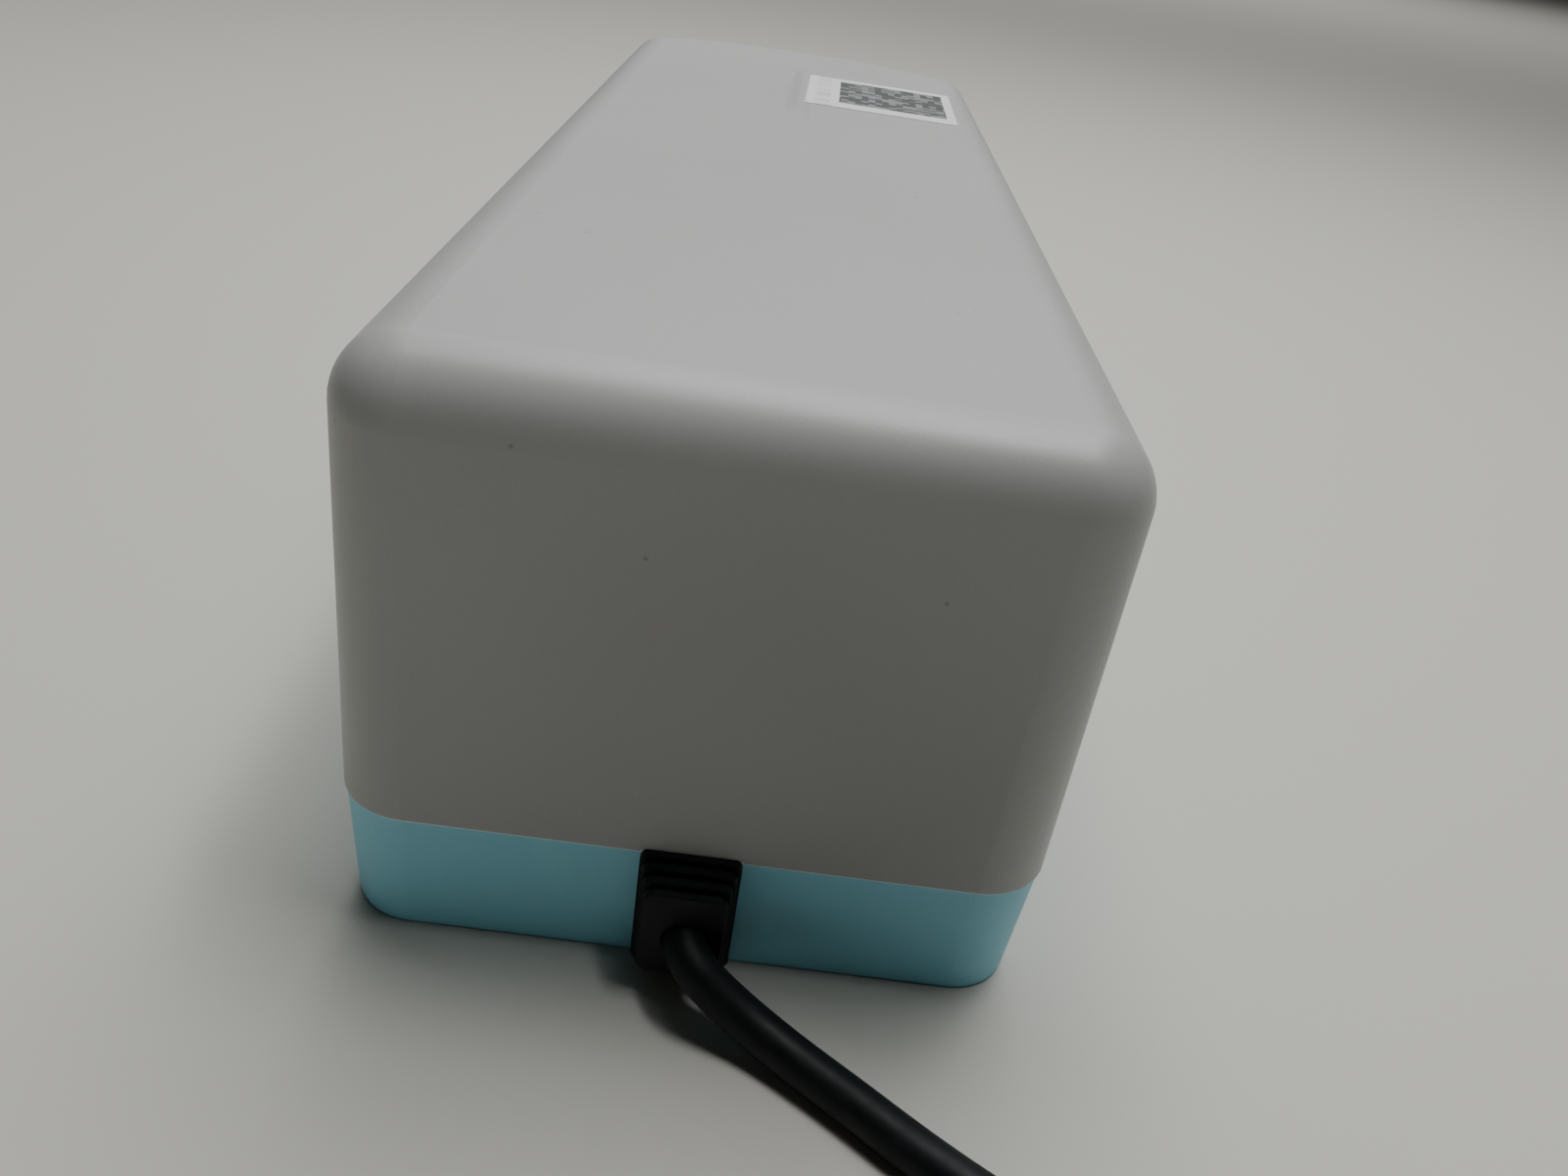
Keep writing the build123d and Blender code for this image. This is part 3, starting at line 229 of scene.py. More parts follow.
def enamelled_steel(name, colour=(0.035, 0.036, 0.04)):
    f = Finish(name)
    peel = f.noise(0.0011, 2.0)
    chips = f.spread(f.noise(0.0035, 5.0, 0.7), 0.71, 0.74)
    f.bump(peel - chips * 0.5, 0.00005, 0.5)
    body = f.mix(chips, tone(colour), (0.30, 0.29, 0.28, 1.0))
    return f.surface(colour=body, rough=f.spread(peel, 0.3, 0.7, 0.28, 0.40), metal=chips * 0.9)


def laminated_iron(name, along="Y"):
    """A stack of thin sheets seen from its edges."""
    sheet_thick = 0.0006
    f = Finish(name)
    sheet = f.reshape("FRACT", f.axis(along) / sheet_thick)
    gap = f.spread(sheet, 0.0, 0.22, 1.0, 0.0)
    rust = f.spread(f.noise(0.004, 4.0, 0.7), 0.55, 0.75)
    body = f.mix(gap, (0.17, 0.17, 0.175, 1.0), (0.03, 0.03, 0.03, 1.0))
    body = f.mix(rust * 0.35, body, (0.16, 0.08, 0.04, 1.0))
    f.bump(1.0 - gap, 0.00006, 0.7)
    return f.surface(colour=body, rough=f.spread(rust, 0.0, 1.0, 0.42, 0.7), metal=1.0 - rust * 0.5)


def wound_copper(name):
    """Enamelled wire laid side by side."""
    f = Finish(name)
    lay = f.reshape("SINE", (f.axis("X") + f.axis("Z")) / 0.0001)
    lay = lay * 0.5 + 0.5
    shade = f.noise(0.004, 3.0)
    # Painted shade and highlight: the colour runs bright on each wire's crest and dark in the grooves between
    # wires, mixed with a random tone.
    body = f.mix(lay * 0.7 + shade * 0.3, (0.30, 0.09, 0.03, 1.0), (0.75, 0.30, 0.12, 1.0))
    f.bump(lay, 0.00012, 0.7)
    return f.surface(colour=body, rough=f.spread(shade, 0.2, 0.8, 0.22, 0.4), metal=0.85, coat=0.4)


def circuit_board(name, flat=("Y", "Z")):
    """Solder mask over copper tracks, with pale plated holes."""
    track_pitch = 0.0025
    f = Finish(name)
    across, up = f.axis(flat[0]), f.axis(flat[1])
    lane = f.reshape("FRACT", up / track_pitch + f.spread(f.noise(0.03, 0.0), 0.45, 0.55) * 3.0)
    track = f.spread(lane, 0.30, 0.36) * f.spread(lane, 0.60, 0.66, 1.0, 0.0)
    broken = f.noise(0.02, 1.0) > 0.47
    cell = f.node("ShaderNodeCombineXYZ", {}, {0: across, 1: up})
    hole = f.spread(f.cells(0.005, vector=cell), 0.10, 0.13, 1.0, 0.0)
    body = f.mix(track * broken, (0.010, 0.085, 0.035, 1.0), (0.022, 0.17, 0.065, 1.0))
    body = f.mix(hole, body, (0.55, 0.53, 0.46, 1.0))
    f.bump(track * broken + hole, 0.00005, 0.6)
    return f.surface(colour=body, rough=f.spread(hole, 0.0, 1.0, 0.24, 0.4), metal=hole * 0.8, coat=0.3)


def frosted_lens(name):
    f = Finish(name)
    frost = f.noise(0.0006, 2.0)
    cloud = f.noise(0.05, 2.0)
    f.bump(frost, 0.00005, 0.5)
    body = f.mix(cloud, (0.74, 0.76, 0.74, 1.0), (0.84, 0.86, 0.85, 1.0))
    return f.surface(colour=body, rough=f.spread(frost, 0.2, 0.8, 0.38, 0.55), clear=0.55, ior=1.49)


def fired_ferrite(name):
    f = Finish(name)
    grit = f.noise(0.0008, 4.0, 0.7)
    f.bump(grit, 0.0001, 0.6)
    body = f.mix(grit, (0.03, 0.03, 0.033, 1.0), (0.10, 0.10, 0.105, 1.0))
    return f.surface(colour=body, rough=f.spread(grit, 0.2, 0.8, 0.5, 0.75))


def wrapped_tape(name, colour=(0.72, 0.52, 0.10)):
    """Glossy tape wound in overlapping turns."""
    tape_width = 0.009
    f = Finish(name)
    turn = f.reshape("FRACT", f.axis("Z") / tape_width)
    edge = f.spread(turn, 0.0, 0.06, 1.0, 0.0)
    body = f.mix(f.noise(0.01), tone(colour, 0.85), tone(colour, 1.1))
    f.bump(edge + f.noise(0.004) * 0.4, 0.0001, 0.6)
    body = f.mix(edge * 0.6, body, tone(colour, 0.45))
    return f.surface(colour=body, rough=f.spread(turn, 0.0, 1.0, 0.22, 0.34), coat=0.5)


def three_wires(name):
    """Brown, blue and green insulation for the three cores, from the left to the right."""
    f = Finish(name)
    x = f.axis("X") + (f.axis("Y") + 0.205) * -0.9
    body = f.mix(x > -0.0095, (0.10, 0.035, 0.012, 1.0), (0.015, 0.07, 0.30, 1.0))
    body = f.mix(x > 0.006, body, (0.16, 0.36, 0.03, 1.0))
    fine = f.noise(0.0006)
    f.bump(fine, 0.00002, 0.5)
    return f.surface(colour=body, rough=f.spread(fine, 0.2, 0.8, 0.3, 0.42))


def printed_label(name, middle, turn, size):
    """White vinyl with a broken strip and a panel of meaningless dark cells."""
    cell_size, bar_pitch = 0.0026, 0.0031
    f = Finish(name)
    cos, sin = math.cos(turn), math.sin(turn)
    x, y = f.axis("X") - middle.x, f.axis("Y") - middle.y
    across = x * cos + y * sin + size[0] / 2
    up = y * cos - x * sin + size[1] / 2
    cell = f.node("ShaderNodeCombineXYZ", {}, {0: across / cell_size, 1: up / cell_size})
    snapped = f.node("ShaderNodeVectorMath", {"operation": "FLOOR"}, {0: cell})
    odds = f.node("ShaderNodeTexWhiteNoise", {"noise_dimensions": "2D"}, {"Vector": snapped})
    left, right = size[0] * 0.22, size[0] * 0.94
    panel = (across > left) * (across < right) * (up > size[1] * 0.15) * (up < size[1] * 0.91)
    row = f.reshape("FLOOR", up / bar_pitch)
    bars = f.node("ShaderNodeTexWhiteNoise", {"noise_dimensions": "1D"}, {"W": row})
    strip = (across > size[0] * 0.06) * (across < size[0] * 0.16) * (bars > 0.55)
    cloud = f.noise(0.01)
    ink = f.mix(f.spread(odds, 0.52, 0.66), (0.050, 0.053, 0.055, 1.0), (0.24, 0.25, 0.255, 1.0))
    body = f.mix(panel, f.mix(cloud, (0.90, 0.905, 0.91, 1.0), (0.94, 0.945, 0.95, 1.0)), ink)
    body = f.mix(strip * 0.30, body, (0.30, 0.30, 0.30, 1.0))
    f.bump(cloud, 0.00002, 0.3)
    return f.surface(colour=body, rough=f.spread(panel, 0.0, 1.0, 0.34, 0.42))


def painted_floor(name, colour):
    f = Finish(name)
    cloud = f.noise(0.6, 3.0)
    body = f.mix(cloud, tone(colour, 0.99), tone(colour, 1.01))
    return f.surface(colour=body, rough=0.75, specular=0.2)


# ------------------------------------------------------------------ settings
class OpenerCase(bpy.types.PropertyGroup):
    shell_colour: FloatVectorProperty(
        name="Shell colour", description="Plastic of the upper shell",
        default=(0.455, 0.46, 0.452), size=3, subtype="COLOR", min=0.0, max=1.0)
    base_colour: FloatVectorProperty(
        name="Base colour", description="Plastic of the base tray",
        default=(0.31, 0.78, 0.95), size=3, subtype="COLOR", min=0.0, max=1.0)
    label_width: FloatProperty(
        name="Label width", description="Across the top of the case", default=0.056, **LENGTH)
    label_length: FloatProperty(
        name="Label length", description="Along the top of the case", default=0.063, **LENGTH)
    label_turn: FloatProperty(
        name="Label turn", description="How crooked the label was stuck on", default=-0.02, subtype="ANGLE")


class OpenerTrim(bpy.types.PropertyGroup):
    lens_ribs: IntProperty(
        name="Lens ribs", description="Ribs that spread the lamp's light", default=31, min=3, max=80)
    dial_ticks: IntProperty(
        name="Dial ticks", description="Marks round each force dial", default=10, min=3, max=30)
    solder_pitch: FloatProperty(
        name="Solder pitch", description="Spacing of the joints on the board", default=0.0127, **LENGTH)


class OpenerCord(bpy.types.PropertyGroup):
    radius: FloatProperty(
        name="Cord radius", description="Half of the cord's thickness", default=0.0045, **LENGTH)
    coil_radius: FloatProperty(
        name="Coil radius", description="From the coil's middle to its turns", default=0.05, **LENGTH)
    coil_twist: FloatProperty(
        name="Coil twist", description="From the middle of the bundle to each turn", default=0.0065, **LENGTH)
    coil_steps: IntProperty(
        name="Steps in a turn", description="Control points in each turn of the coil",
        default=24, min=12, max=48)


class OpenerStage(bpy.types.PropertyGroup):
    floor_colour: FloatVectorProperty(
        name="Floor colour", description="Plain pale floor",
        default=(0.62, 0.615, 0.565), size=3, subtype="COLOR")
    overhead: FloatProperty(
        name="Overhead light", description="Power of the wide light above",
        default=21.0, subtype="POWER", unit="POWER")
    surround: FloatProperty(
        name="Surround", description="Strength of the even light from all round", default=0.02, min=0.0)


GROUPS = {
    "opener_case": OpenerCase,
    "opener_trim": OpenerTrim,
    "opener_cord": OpenerCord,
    "opener_stage": OpenerStage,
}


# ------------------------------------------------------------------ building helpers
def keep(name, mesh, material, body):
    """Links a mesh as a piece that rides on a body."""
    piece = bpy.data.objects.new(name, mesh)
    bpy.context.scene.collection.objects.link(piece)
    if material:
        mesh.materials.clear()
        mesh.materials.append(material)
    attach(piece, body)
    return piece


def dress(material, *names):
    for name in names:
        slots = NODES[name].data.materials
        slots.clear()
        slots.append(material)


def bar_mesh(name, centre, size, turn=0.0, round_by=0.0, normal_axis="Z"):
    """A small slab with rounded corners, turned about the axis that it faces."""
    form = bmesh.new()
    bmesh.ops.create_cube(form, size=1.0)
    bmesh.ops.scale(form, vec=size, verts=form.verts)
    axis = "XYZ".index(normal_axis)
    if round_by:
        upright = [e for e in form.edges if abs((e.verts[0].co - e.verts[1].co)[axis]) > size[axis] * 0.9]
        bmesh.ops.bevel(form, geom=upright, offset=round_by, segments=5, affect="EDGES", profile=0.5)
    bmesh.ops.rotate(form, matrix=Matrix.Rotation(turn, 3, normal_axis), verts=form.verts)
    bmesh.ops.translate(form, vec=centre, verts=form.verts)
    mesh = bpy.data.meshes.new(name)
    form.to_mesh(mesh)
    form.free()
    return mesh


class Tree:
    """A geometry node tree with named inputs, whose result is made a plain mesh."""

    def __init__(self, name, material, **inputs):
        self.tree = bpy.data.node_groups.new(name, "GeometryNodeTree")
        self.tree.interface.new_socket("Geometry", in_out="OUTPUT", socket_type="NodeSocketGeometry")
        kinds = {int: "NodeSocketInt", float: "NodeSocketFloat", Vector: "NodeSocketVector"}
        self.keys = {}
        for key, value in inputs.items():
            socket = self.tree.interface.new_socket(key, in_out="INPUT", socket_type=kinds[type(value)])
            self.keys[key] = (socket.identifier, value)
        self.source = self.tree.nodes.new("NodeGroupInput")
        self.name = name
        self.material = material

    def given(self, key):
        return self.source.outputs[key]

    def node(self, kind, values, output=0, **settings):
        made = self.tree.nodes.new(kind)
        for key, setting in settings.items():
            setattr(made, key, setting)
        for key, value in values.items():
            if isinstance(value, bpy.types.NodeSocket):
                self.tree.links.new(value, made.inputs[key])
            else:
                made.inputs[key].default_value = value
        return made.outputs[output]

    def spots(self, curve):
        """Even points along a curve, as many as the Count input says."""
        values = {"Curve": curve, "Count": self.given("Count")}
        return self.node("GeometryNodeCurveToPoints", values, "Points", mode="COUNT")

    def finish(self, instances):
        """Realizes the instances, sets their material and returns the plain mesh."""
        real = self.node("GeometryNodeRealizeInstances", {0: instances})
        dressed = self.node("GeometryNodeSetMaterial", {"Geometry": real, "Material": self.material})
        out = self.tree.nodes.new("NodeGroupOutput")
        self.tree.links.new(dressed, out.inputs[0])
        holder = bpy.data.objects.new(self.name + "_maker", bpy.data.meshes.new(self.name + "_empty"))
        bpy.context.scene.collection.objects.link(holder)
        modifier = holder.modifiers.new("made", "NODES")
        modifier.node_group = self.tree
        for identifier, value in self.keys.values():
            modifier[identifier] = value
        bpy.context.view_layer.update()
        made = holder.evaluated_get(bpy.context.evaluated_depsgraph_get())
        mesh = bpy.data.meshes.new_from_object(made)
        holder.modifiers.remove(modifier)
        bpy.data.objects.remove(holder)
        mesh.name = self.name
        return mesh


# ------------------------------------------------------------------ operators
class OPENER_OT_finish_case(bpy.types.Operator):
    """Give the two halves of the case and the flap their moulded finishes"""

    bl_idname = "opener.finish_case"
    bl_label = "Case finishes"

    def execute(self, context):
        case = context.scene.opener_case
        shell = moulded_plastic("shell_plastic", case.shell_colour, 0.38)
        dress(shell, "cover_shell", "control_flap")
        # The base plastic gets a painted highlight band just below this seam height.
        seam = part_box("cover_shell")[0].z
        dress(moulded_plastic("base_plastic", case.base_colour, 0.46, specks=0.03, seam_highlight_z=seam), "base_tray")
        dress(frosted_lens("lens_plastic"), "light_lens")
        dress(moulded_plastic("panel_plastic", (0.035, 0.037, 0.04), 0.5), "control_panel")
        return {"FINISHED"}


class OPENER_OT_finish_drive(bpy.types.Operator):
    """Give the motor, the worm drive and the limit unit their metals and plastics"""

    bl_idname = "opener.finish_drive"
    bl_label = "Drive finishes"

    def execute(self, context):
        zinc = plated_sheet("zinc_sheet")
        dress(zinc, "chassis_plate", "limit_bracket", "open_limit_lever", "close_limit_lever")
        screws = turned_metal("zinc_screws", (0.60, 0.60, 0.57), 0.3)
        dress(screws, "machine_screws", "housing_screws", "motor_tie_bolts", "transformer_bolts")
        steel = turned_metal("ground_steel", (0.50, 0.50, 0.51), 0.2)
        dress(steel, "output_shaft", "shaft_key", "shaft_circlip", "limit_axles")
        along = turned_metal("shaft_steel", (0.48, 0.48, 0.49), 0.2, "Y")
        dress(along, "worm_shaft", "worm_bearings", "flap_hinge_pin")
        dress(turned_metal("machined_brass", (0.72, 0.50, 0.20), 0.24), "threaded_inserts", "plug_contacts")
        dress(turned_metal("sintered_bronze", (0.52, 0.33, 0.15), 0.45), "output_bushes")
        nylon = moulded_plastic("white_nylon", (0.76, 0.74, 0.67), 0.38, depth=0.00002)
        dress(nylon, "worm_wheel", "limit_pinion", "limit_idler", "limit_cam_gear")
        black = moulded_plastic("glass_filled_nylon", (0.035, 0.036, 0.038), 0.5)
        dress(black, "gearbox_case", "gearbox_lid", "motor_end_cap")
        dress(enamelled_steel("can_enamel"), "motor_can")
        dress(fired_ferrite("ferrite"), "motor_magnets")
        dress(laminated_iron("rotor_sheets"), "armature_core")
        dress(laminated_iron("transformer_sheets"), "transformer_core")
        dress(wound_copper("rotor_wire"), "armature_windings")
        dress(turned_metal("copper_bars", (0.72, 0.34, 0.18), 0.22, "Y"), "commutator")
        dress(moulded_plastic("carbon_block", (0.02, 0.02, 0.022), 0.6, depth=0.00006), "motor_brushes")
        dress(black_rubber("cradle_rubber", 0.6), "motor_cradle")
        return {"FINISHED"}


class OPENER_OT_finish_electrics(bpy.types.Operator):
    """Give the boards, the transformer, the switches and the controls their finishes"""

    bl_idname = "opener.finish_electrics"
    bl_label = "Electrical finishes"

    def execute(self, context):
        dress(circuit_board("board_mask"), "control_board")
        dress(circuit_board("lamp_mask", ("X", "Z")), "lamp_board")
        dark = moulded_plastic("relay_case", (0.02, 0.021, 0.023), 0.36, depth=0.00002)
        dress(dark, "board_relays", "limit_switches", "tact_switches", "force_pots")
        sleeve = moulded_plastic("capacitor_sleeve", (0.02, 0.035, 0.12), 0.25, depth=0.00001)
        dress(sleeve, "board_capacitors")
        pale = moulded_plastic("connector_plastic", (0.74, 0.73, 0.68), 0.42)
        dress(pale, "board_connectors", "mains_terminal")
        dress(wrapped_tape("coil_tape"), "transformer_coil")
        dress(three_wires("core_insulation"), "supply_leads")
        lit = moulded_plastic("lamp_phosphor", (0.80, 0.74, 0.36), 0.25, depth=0.00001)
        dress(lit, "lamp_leds")
        keys = moulded_plastic("button_caps", (0.33, 0.34, 0.34), 0.3)
        dress(keys, "button_open", "button_close", "button_learn")
        dress(moulded_plastic("dial_plastic", (0.52, 0.05, 0.03), 0.4), "force_dial_open", "force_dial_close")
        return {"FINISHED"}


class OPENER_OT_make_cord(bpy.types.Operator):
    """Lay the mains cord from the strain relief into its coil and out to the plug"""

    bl_idname = "opener.make_cord"
    bl_label = "Mains cord"

    def route(self, settings):
        lay = [
            (0.0, -0.21185, 0.016),
            (0.0, -0.2184, 0.016),
            (0.0032, -0.2238, 0.0146),
            (0.0088, -0.2264, 0.0108),
            (0.0164, -0.2296, 0.0069),
            (0.0256, -0.2352, 0.0050),
            (0.0365, -0.2426, 0.0046),
            (0.0480, -0.2512, 0.0046),
            (0.0610, -0.2600, 0.0047),
            (0.0780, -0.2700, 0.0054),
        ]
        steps = round(settings.coil_steps * COIL_TURNS)
        lay += [self.turn_point(settings, COIL_TURNS * k / steps) for k in range(steps + 1)]
        return lay + [
            (0.0530, -0.3868, 0.0116),
            (0.0370, -0.3810, 0.0142),
            (0.0250, -0.3696, 0.0185),
            (0.0140, -0.3586, 0.0185),
        ]

    def turn_point(self, settings, turns):
        about = math.radians(60.0 - 360.0 * turns)
        twist = math.radians(-45.0 - 90.0 * turns)
        r = settings.coil_radius + settings.coil_twist * math.cos(twist)
        x = COIL_CENTRE.x + r * math.cos(about)
        return x, COIL_CENTRE.y + r * math.sin(about), COIL_CENTRE.z + settings.coil_twist * math.sin(twist)

    def execute(self, context):
        settings = context.scene.opener_cord
        points = self.route(settings)
        curve = bpy.data.curves.new("mains_flex", "CURVE")
        curve.dimensions = "3D"
        spline = curve.splines.new("NURBS")
        spline.points.add(len(points) - 1)
        for spot, place in zip(spline.points, points):
            spot.co = (*place, 1.0)
        spline.order_u = 3
        spline.use_endpoint_u = True
        spline.resolution_u = 8
        curve.bevel_depth = settings.radius
        curve.bevel_resolution = 7
        curve.use_fill_caps = True
        curve.materials.append(black_rubber("cord_sheath", 0.52))
        flex = bpy.data.objects.new("mains_flex", curve)
        context.scene.collection.objects.link(flex)
        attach(flex, "housing")
        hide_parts("mains_cord", "cord_coil")
        dress(black_rubber("relief_rubber", 0.50), "strain_relief")
        dress(black_rubber("plug_rubber", 0.42), "plug_body")
        dress(moulded_plastic("tie_plastic", (0.02, 0.02, 0.021), 0.5), "cord_tie")
        return {"FINISHED"}


class OPENER_OT_make_label(bpy.types.Operator):
    """Stick the rating label on the top of the case"""

    bl_idname = "opener.make_label"
    bl_label = "Rating label"

    def execute(self, context):
        case = context.scene.opener_case
        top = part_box("cover_shell")[1].z
        size = (case.label_width, case.label_length)
        thick = 0.0002
        middle = Vector((0.0312, 0.1045, top + thick / 2))
        mesh = bar_mesh("rating_label", middle, (*size, thick), case.label_turn, 0.0015)
        vinyl = printed_label("label_vinyl", middle, case.label_turn, size)
        keep("rating_label", mesh, vinyl, "housing")
        return {"FINISHED"}


class OPENER_OT_make_lens_ribs(bpy.types.Operator):
    """Line the back of the lamp's lens with upright ribs that follow its bow"""

    bl_idname = "opener.make_lens_ribs"
    bl_label = "Lens ribs"

    def execute(self, context):
        low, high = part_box("light_lens")
        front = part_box("cover_shell")[1].y
        bow, half_lens, setback = 0.024, 0.043, 0.0056
        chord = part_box("cover_shell")[1].x
        bend = (chord * chord + bow * bow) / (2 * bow)
        reach = math.asin(half_lens / bend)
        inner = bend - setback
        ribs = Tree(
            "lens_ribs", frosted_lens("rib_plastic"), Count=context.scene.opener_trim.lens_ribs,
            Radius=inner, Sweep=2 * reach, Size=Vector((0.0012, 0.0009, 0.040)),
            Place=Vector((0.0, front - bend, (low.z + high.z) / 2)))
        arc = ribs.node(
            "GeometryNodeCurveArc", {"Radius": ribs.given("Radius"), "Start Angle": math.pi / 2 - reach,
                                     "Sweep Angle": ribs.given("Sweep"), "Resolution": 64}, mode="RADIUS")
        spots = ribs.spots(arc)
        rib = ribs.node("GeometryNodeMeshCube", {"Size": ribs.given("Size")})
        row = ribs.node("GeometryNodeInstanceOnPoints", {"Points": spots, "Instance": rib})
        placed = ribs.node("GeometryNodeTransform", {"Geometry": row, "Translation": ribs.given("Place")})
        keep("lens_ribs", ribs.finish(placed), None, "housing")
        return {"FINISHED"}


class OPENER_OT_make_dial_marks(bpy.types.Operator):
    """Print the scale round each force dial and the plain signs above the buttons"""

    bl_idname = "opener.make_dial_marks"
    bl_label = "Panel marks"

    def scale(self, name, dial, count, ink):
        low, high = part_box(dial)
        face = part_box("control_panel")[1].x
        place = Vector((face + 0.00006, (low.y + high.y) / 2, (low.z + high.z) / 2))
        tick_size = Vector((0.0016, 0.00045, 0.00012))
        marks = Tree(name, ink, Count=count, Radius=0.0078, Size=tick_size, Place=place)
        arc = marks.node(
            "GeometryNodeCurveArc", {"Radius": marks.given("Radius"), "Start Angle": math.radians(-45),
                                     "Sweep Angle": math.radians(270), "Resolution": 48}, mode="RADIUS")
        spots = marks.spots(arc)
        spot = marks.node("GeometryNodeInputPosition", {})
        facing = marks.node("FunctionNodeAlignEulerToVector", {"Vector": spot}, axis="X", pivot_axis="Z")
        tick = marks.node("GeometryNodeMeshCube", {"Size": marks.given("Size")})
        values = {"Points": spots, "Instance": tick, "Rotation": facing}
        ring = marks.node("GeometryNodeInstanceOnPoints", values)
        values = {"Geometry": ring, "Rotation": TO_SIDE, "Translation": marks.given("Place")}
        return marks.finish(marks.node("GeometryNodeTransform", values))

    def sign(self, name, button, corners, turn):
        """A flat sign with the given number of corners above a button."""
        low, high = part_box(button)
        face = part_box("control_panel")[1].x
        form = bmesh.new()
        bmesh.ops.create_cone(
            form, cap_ends=True, segments=corners, radius1=0.0016, radius2=0.0016, depth=0.00012,
            matrix=Matrix.Translation((face + 0.00006, (low.y + high.y) / 2, high.z + 0.0022))
            @ Matrix.Rotation(math.pi / 2, 4, "Y") @ Matrix.Rotation(turn, 4, "Z"))
        mesh = bpy.data.meshes.new(name)
        form.to_mesh(mesh)
        form.free()
        return mesh

    def execute(self, context):
        ink = moulded_plastic("print_ink", (0.72, 0.72, 0.70), 0.5, depth=0.00001)
        count = context.scene.opener_trim.dial_ticks
        for dial in ("force_dial_open", "force_dial_close"):
            mesh = self.scale(dial + "_scale", dial, count, ink)
            keep(dial + "_scale", mesh, None, "housing")
        signs = (("open", 3, math.pi), ("close", 3, 0.0), ("learn", 20, 0.0))
        for word, corners, turn in signs:
            mesh = self.sign("sign_" + word, "button_" + word, corners, turn)
            keep("sign_" + word, mesh, ink, "housing")
        return {"FINISHED"}


class OPENER_OT_make_solder(bpy.types.Operator):
    """Dot the outer face of the control board with soldered joints"""

    bl_idname = "opener.make_solder"
    bl_label = "Soldered joints"

    def execute(self, context):
        low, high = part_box("control_board")
        pitch = context.scene.opener_trim.solder_pitch
        border = 0.012
        rows = int((high.z - low.z - border) / pitch)
        columns = int((high.y - low.y - border) / pitch)
        shine = turned_metal("solder", (0.62, 0.62, 0.60), 0.25, "X")
        middle = Vector((high.x + 0.00015, (low.y + high.y) / 2, (low.z + high.z) / 2))
        dots = Tree(
            "board_solder", shine, Rows=rows, Columns=columns, Pitch=pitch, Radius=0.0011, Place=middle)
        wide, tall, step = dots.given("Columns"), dots.given("Rows"), dots.given("Pitch")
        width = dots.node("ShaderNodeMath", {0: wide, 1: step}, operation="MULTIPLY")
        height = dots.node("ShaderNodeMath", {0: tall, 1: step}, operation="MULTIPLY")
        values = {"Size X": width, "Size Y": height, "Vertices X": wide, "Vertices Y": tall}
        grid = dots.node("GeometryNodeMeshGrid", values)
        values = {"Segments": 8, "Rings": 5, "Radius": dots.given("Radius")}
        bead = dots.node("GeometryNodeMeshUVSphere", values)
        values = {"Points": grid, "Instance": bead, "Scale": (1.0, 1.0, 0.4)}
        laid = dots.node("GeometryNodeInstanceOnPoints", values)
        values = {"Geometry": laid, "Rotation": TO_SIDE, "Translation": dots.given("Place")}
        mesh = dots.finish(dots.node("GeometryNodeTransform", values))
        keep("board_solder", mesh, None, "housing")
        return {"FINISHED"}


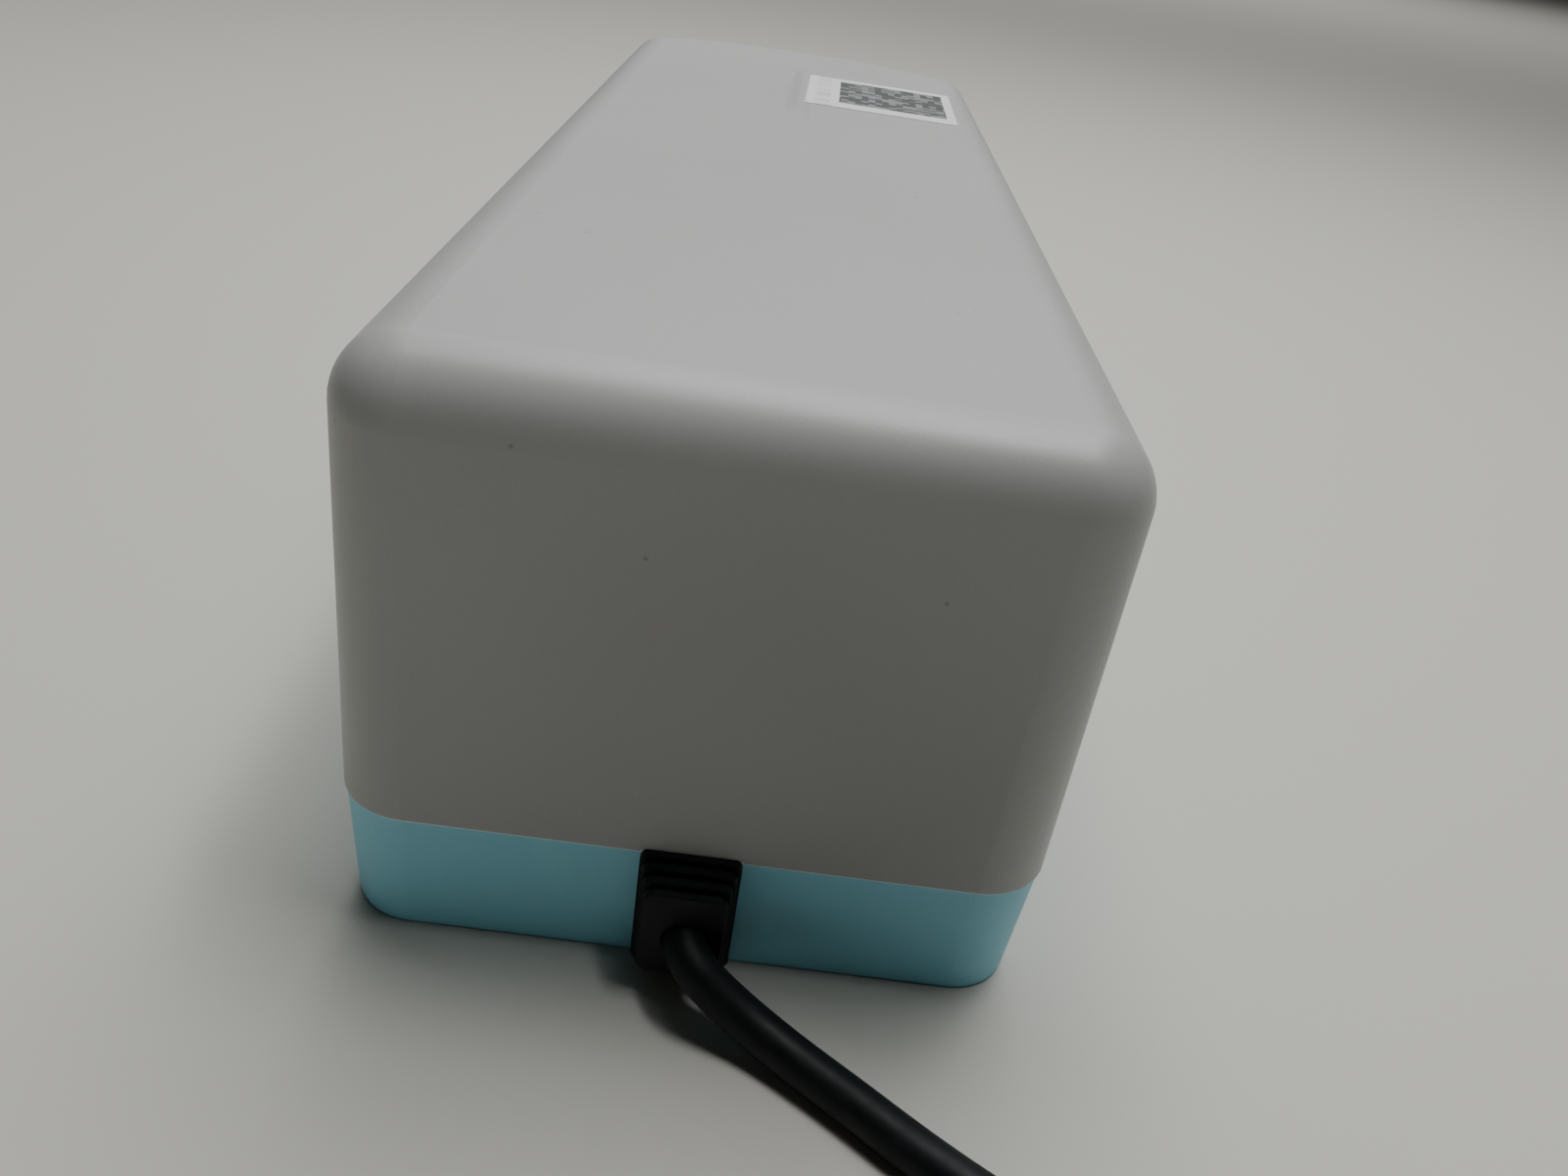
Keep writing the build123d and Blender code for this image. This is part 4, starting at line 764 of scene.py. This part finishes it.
class OPENER_OT_set_stage(bpy.types.Operator):
    """Lay the floor, hang the lights and place the camera"""

    bl_idname = "opener.set_stage"
    bl_label = "Stage"

    def camera(self, scene):
        """Close above the cord end, looking along the case and tipped to the right."""
        stand = (0.00096, -0.39398, 0.2083)
        yaw, pitch, roll = 0.0475, 0.5425, -0.1601
        forward = Vector((math.sin(yaw) * math.cos(pitch), math.cos(yaw) * math.cos(pitch), -math.sin(pitch)))
        level = Vector((math.cos(yaw), -math.sin(yaw), 0.0))
        down = forward.cross(level)
        right = level * math.cos(roll) + down * math.sin(roll)
        up = level * math.sin(roll) - down * math.cos(roll)
        lens = bpy.data.cameras.new("camera")
        lens.sensor_width = 36.0
        lens.lens = 28.125
        lens.clip_start = 0.01
        eye = bpy.data.objects.new("camera", lens)
        scene.collection.objects.link(eye)
        turn = Matrix((right, up, -forward)).transposed().to_4x4()
        eye.matrix_world = Matrix.Translation(stand) @ turn
        scene.camera = eye

    def light(self, scene, name, place, target, size, power):
        lamp = bpy.data.lights.new(name, "AREA")
        lamp.shape = "RECTANGLE"
        lamp.size, lamp.size_y = size
        lamp.energy = power
        hung = bpy.data.objects.new(name, lamp)
        scene.collection.objects.link(hung)
        away = Vector(place) - Vector(target)
        hung.matrix_world = Matrix.Translation(place) @ away.to_track_quat("Z", "Y").to_matrix().to_4x4()

    def execute(self, context):
        scene = context.scene
        settings = scene.opener_stage
        floor = bpy.data.objects.new("floor", bar_mesh("floor", (0.0, 0.0, -0.005), (40.0, 40.0, 0.01)))
        scene.collection.objects.link(floor)
        floor.data.materials.append(painted_floor("floor_paint", settings.floor_colour))
        self.camera(scene)
        lamps = (
            ("overhead", (0.1, 0.40, 1.5), (0.0, 0.1, 0.1), (1.1, 1.1), 1.0),
            ("ceiling_strip", (0.30, -0.12, 1.3), (0.05, -0.2, 0.1), (0.5, 0.12), 0.18),
            ("low_fill", (0.05, -1.1, 0.12), (0.0, -0.2, 0.0), (1.4, 0.2), 0.017),
            ("far_fill", (0.5, 5.0, 3.0), (0.5, 5.0, 0.0), (5.0, 4.0), 5.5),
        )
        for name, place, target, size, share in lamps:
            self.light(scene, name, place, target, size, settings.overhead * share)
        world = scene.world or bpy.data.worlds.new("surround")
        scene.world = world
        world.use_nodes = True
        sky = world.node_tree.nodes.get("Background") or world.node_tree.nodes.new("ShaderNodeBackground")
        sky.inputs["Color"].default_value = (1.0, 0.98, 0.86, 1.0)
        sky.inputs["Strength"].default_value = settings.surround
        return {"FINISHED"}


class OPENER_PT_pieces(bpy.types.Panel):
    bl_idname = "OPENER_PT_pieces"
    bl_label = "Opener"
    bl_space_type = "VIEW_3D"
    bl_region_type = "UI"
    bl_category = "Opener"

    def draw(self, context):
        for key, group in GROUPS.items():
            box = self.layout.box()
            for field in group.__annotations__:
                box.prop(getattr(context.scene, key), field)
        for step in STEPS:
            self.layout.operator(step.bl_idname)


COIL_CENTRE = Vector((0.074, -0.331, 0.0121))
COIL_TURNS = 3 + 5 / 12
STEPS = (
    OPENER_OT_set_stage,
    OPENER_OT_make_cord,
    OPENER_OT_finish_case,
    OPENER_OT_finish_drive,
    OPENER_OT_finish_electrics,
    OPENER_OT_make_label,
    OPENER_OT_make_lens_ribs,
    OPENER_OT_make_dial_marks,
    OPENER_OT_make_solder,
)
CLASSES = (*GROUPS.values(), *STEPS, OPENER_PT_pieces)


def register():
    for kind in CLASSES:
        bpy.utils.register_class(kind)
    for key, group in GROUPS.items():
        setattr(bpy.types.Scene, key, PointerProperty(type=group))


def unregister():
    for key in GROUPS:
        delattr(bpy.types.Scene, key)
    for kind in reversed(CLASSES):
        bpy.utils.unregister_class(kind)


def corners(bounds):
    return [list(corner) for corner in bounds]


def main():
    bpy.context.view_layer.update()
    register()
    for step in STEPS:
        group, name = step.bl_idname.split(".")
        getattr(getattr(bpy.ops, group), name)()


if __name__ == "__main__":
    main()
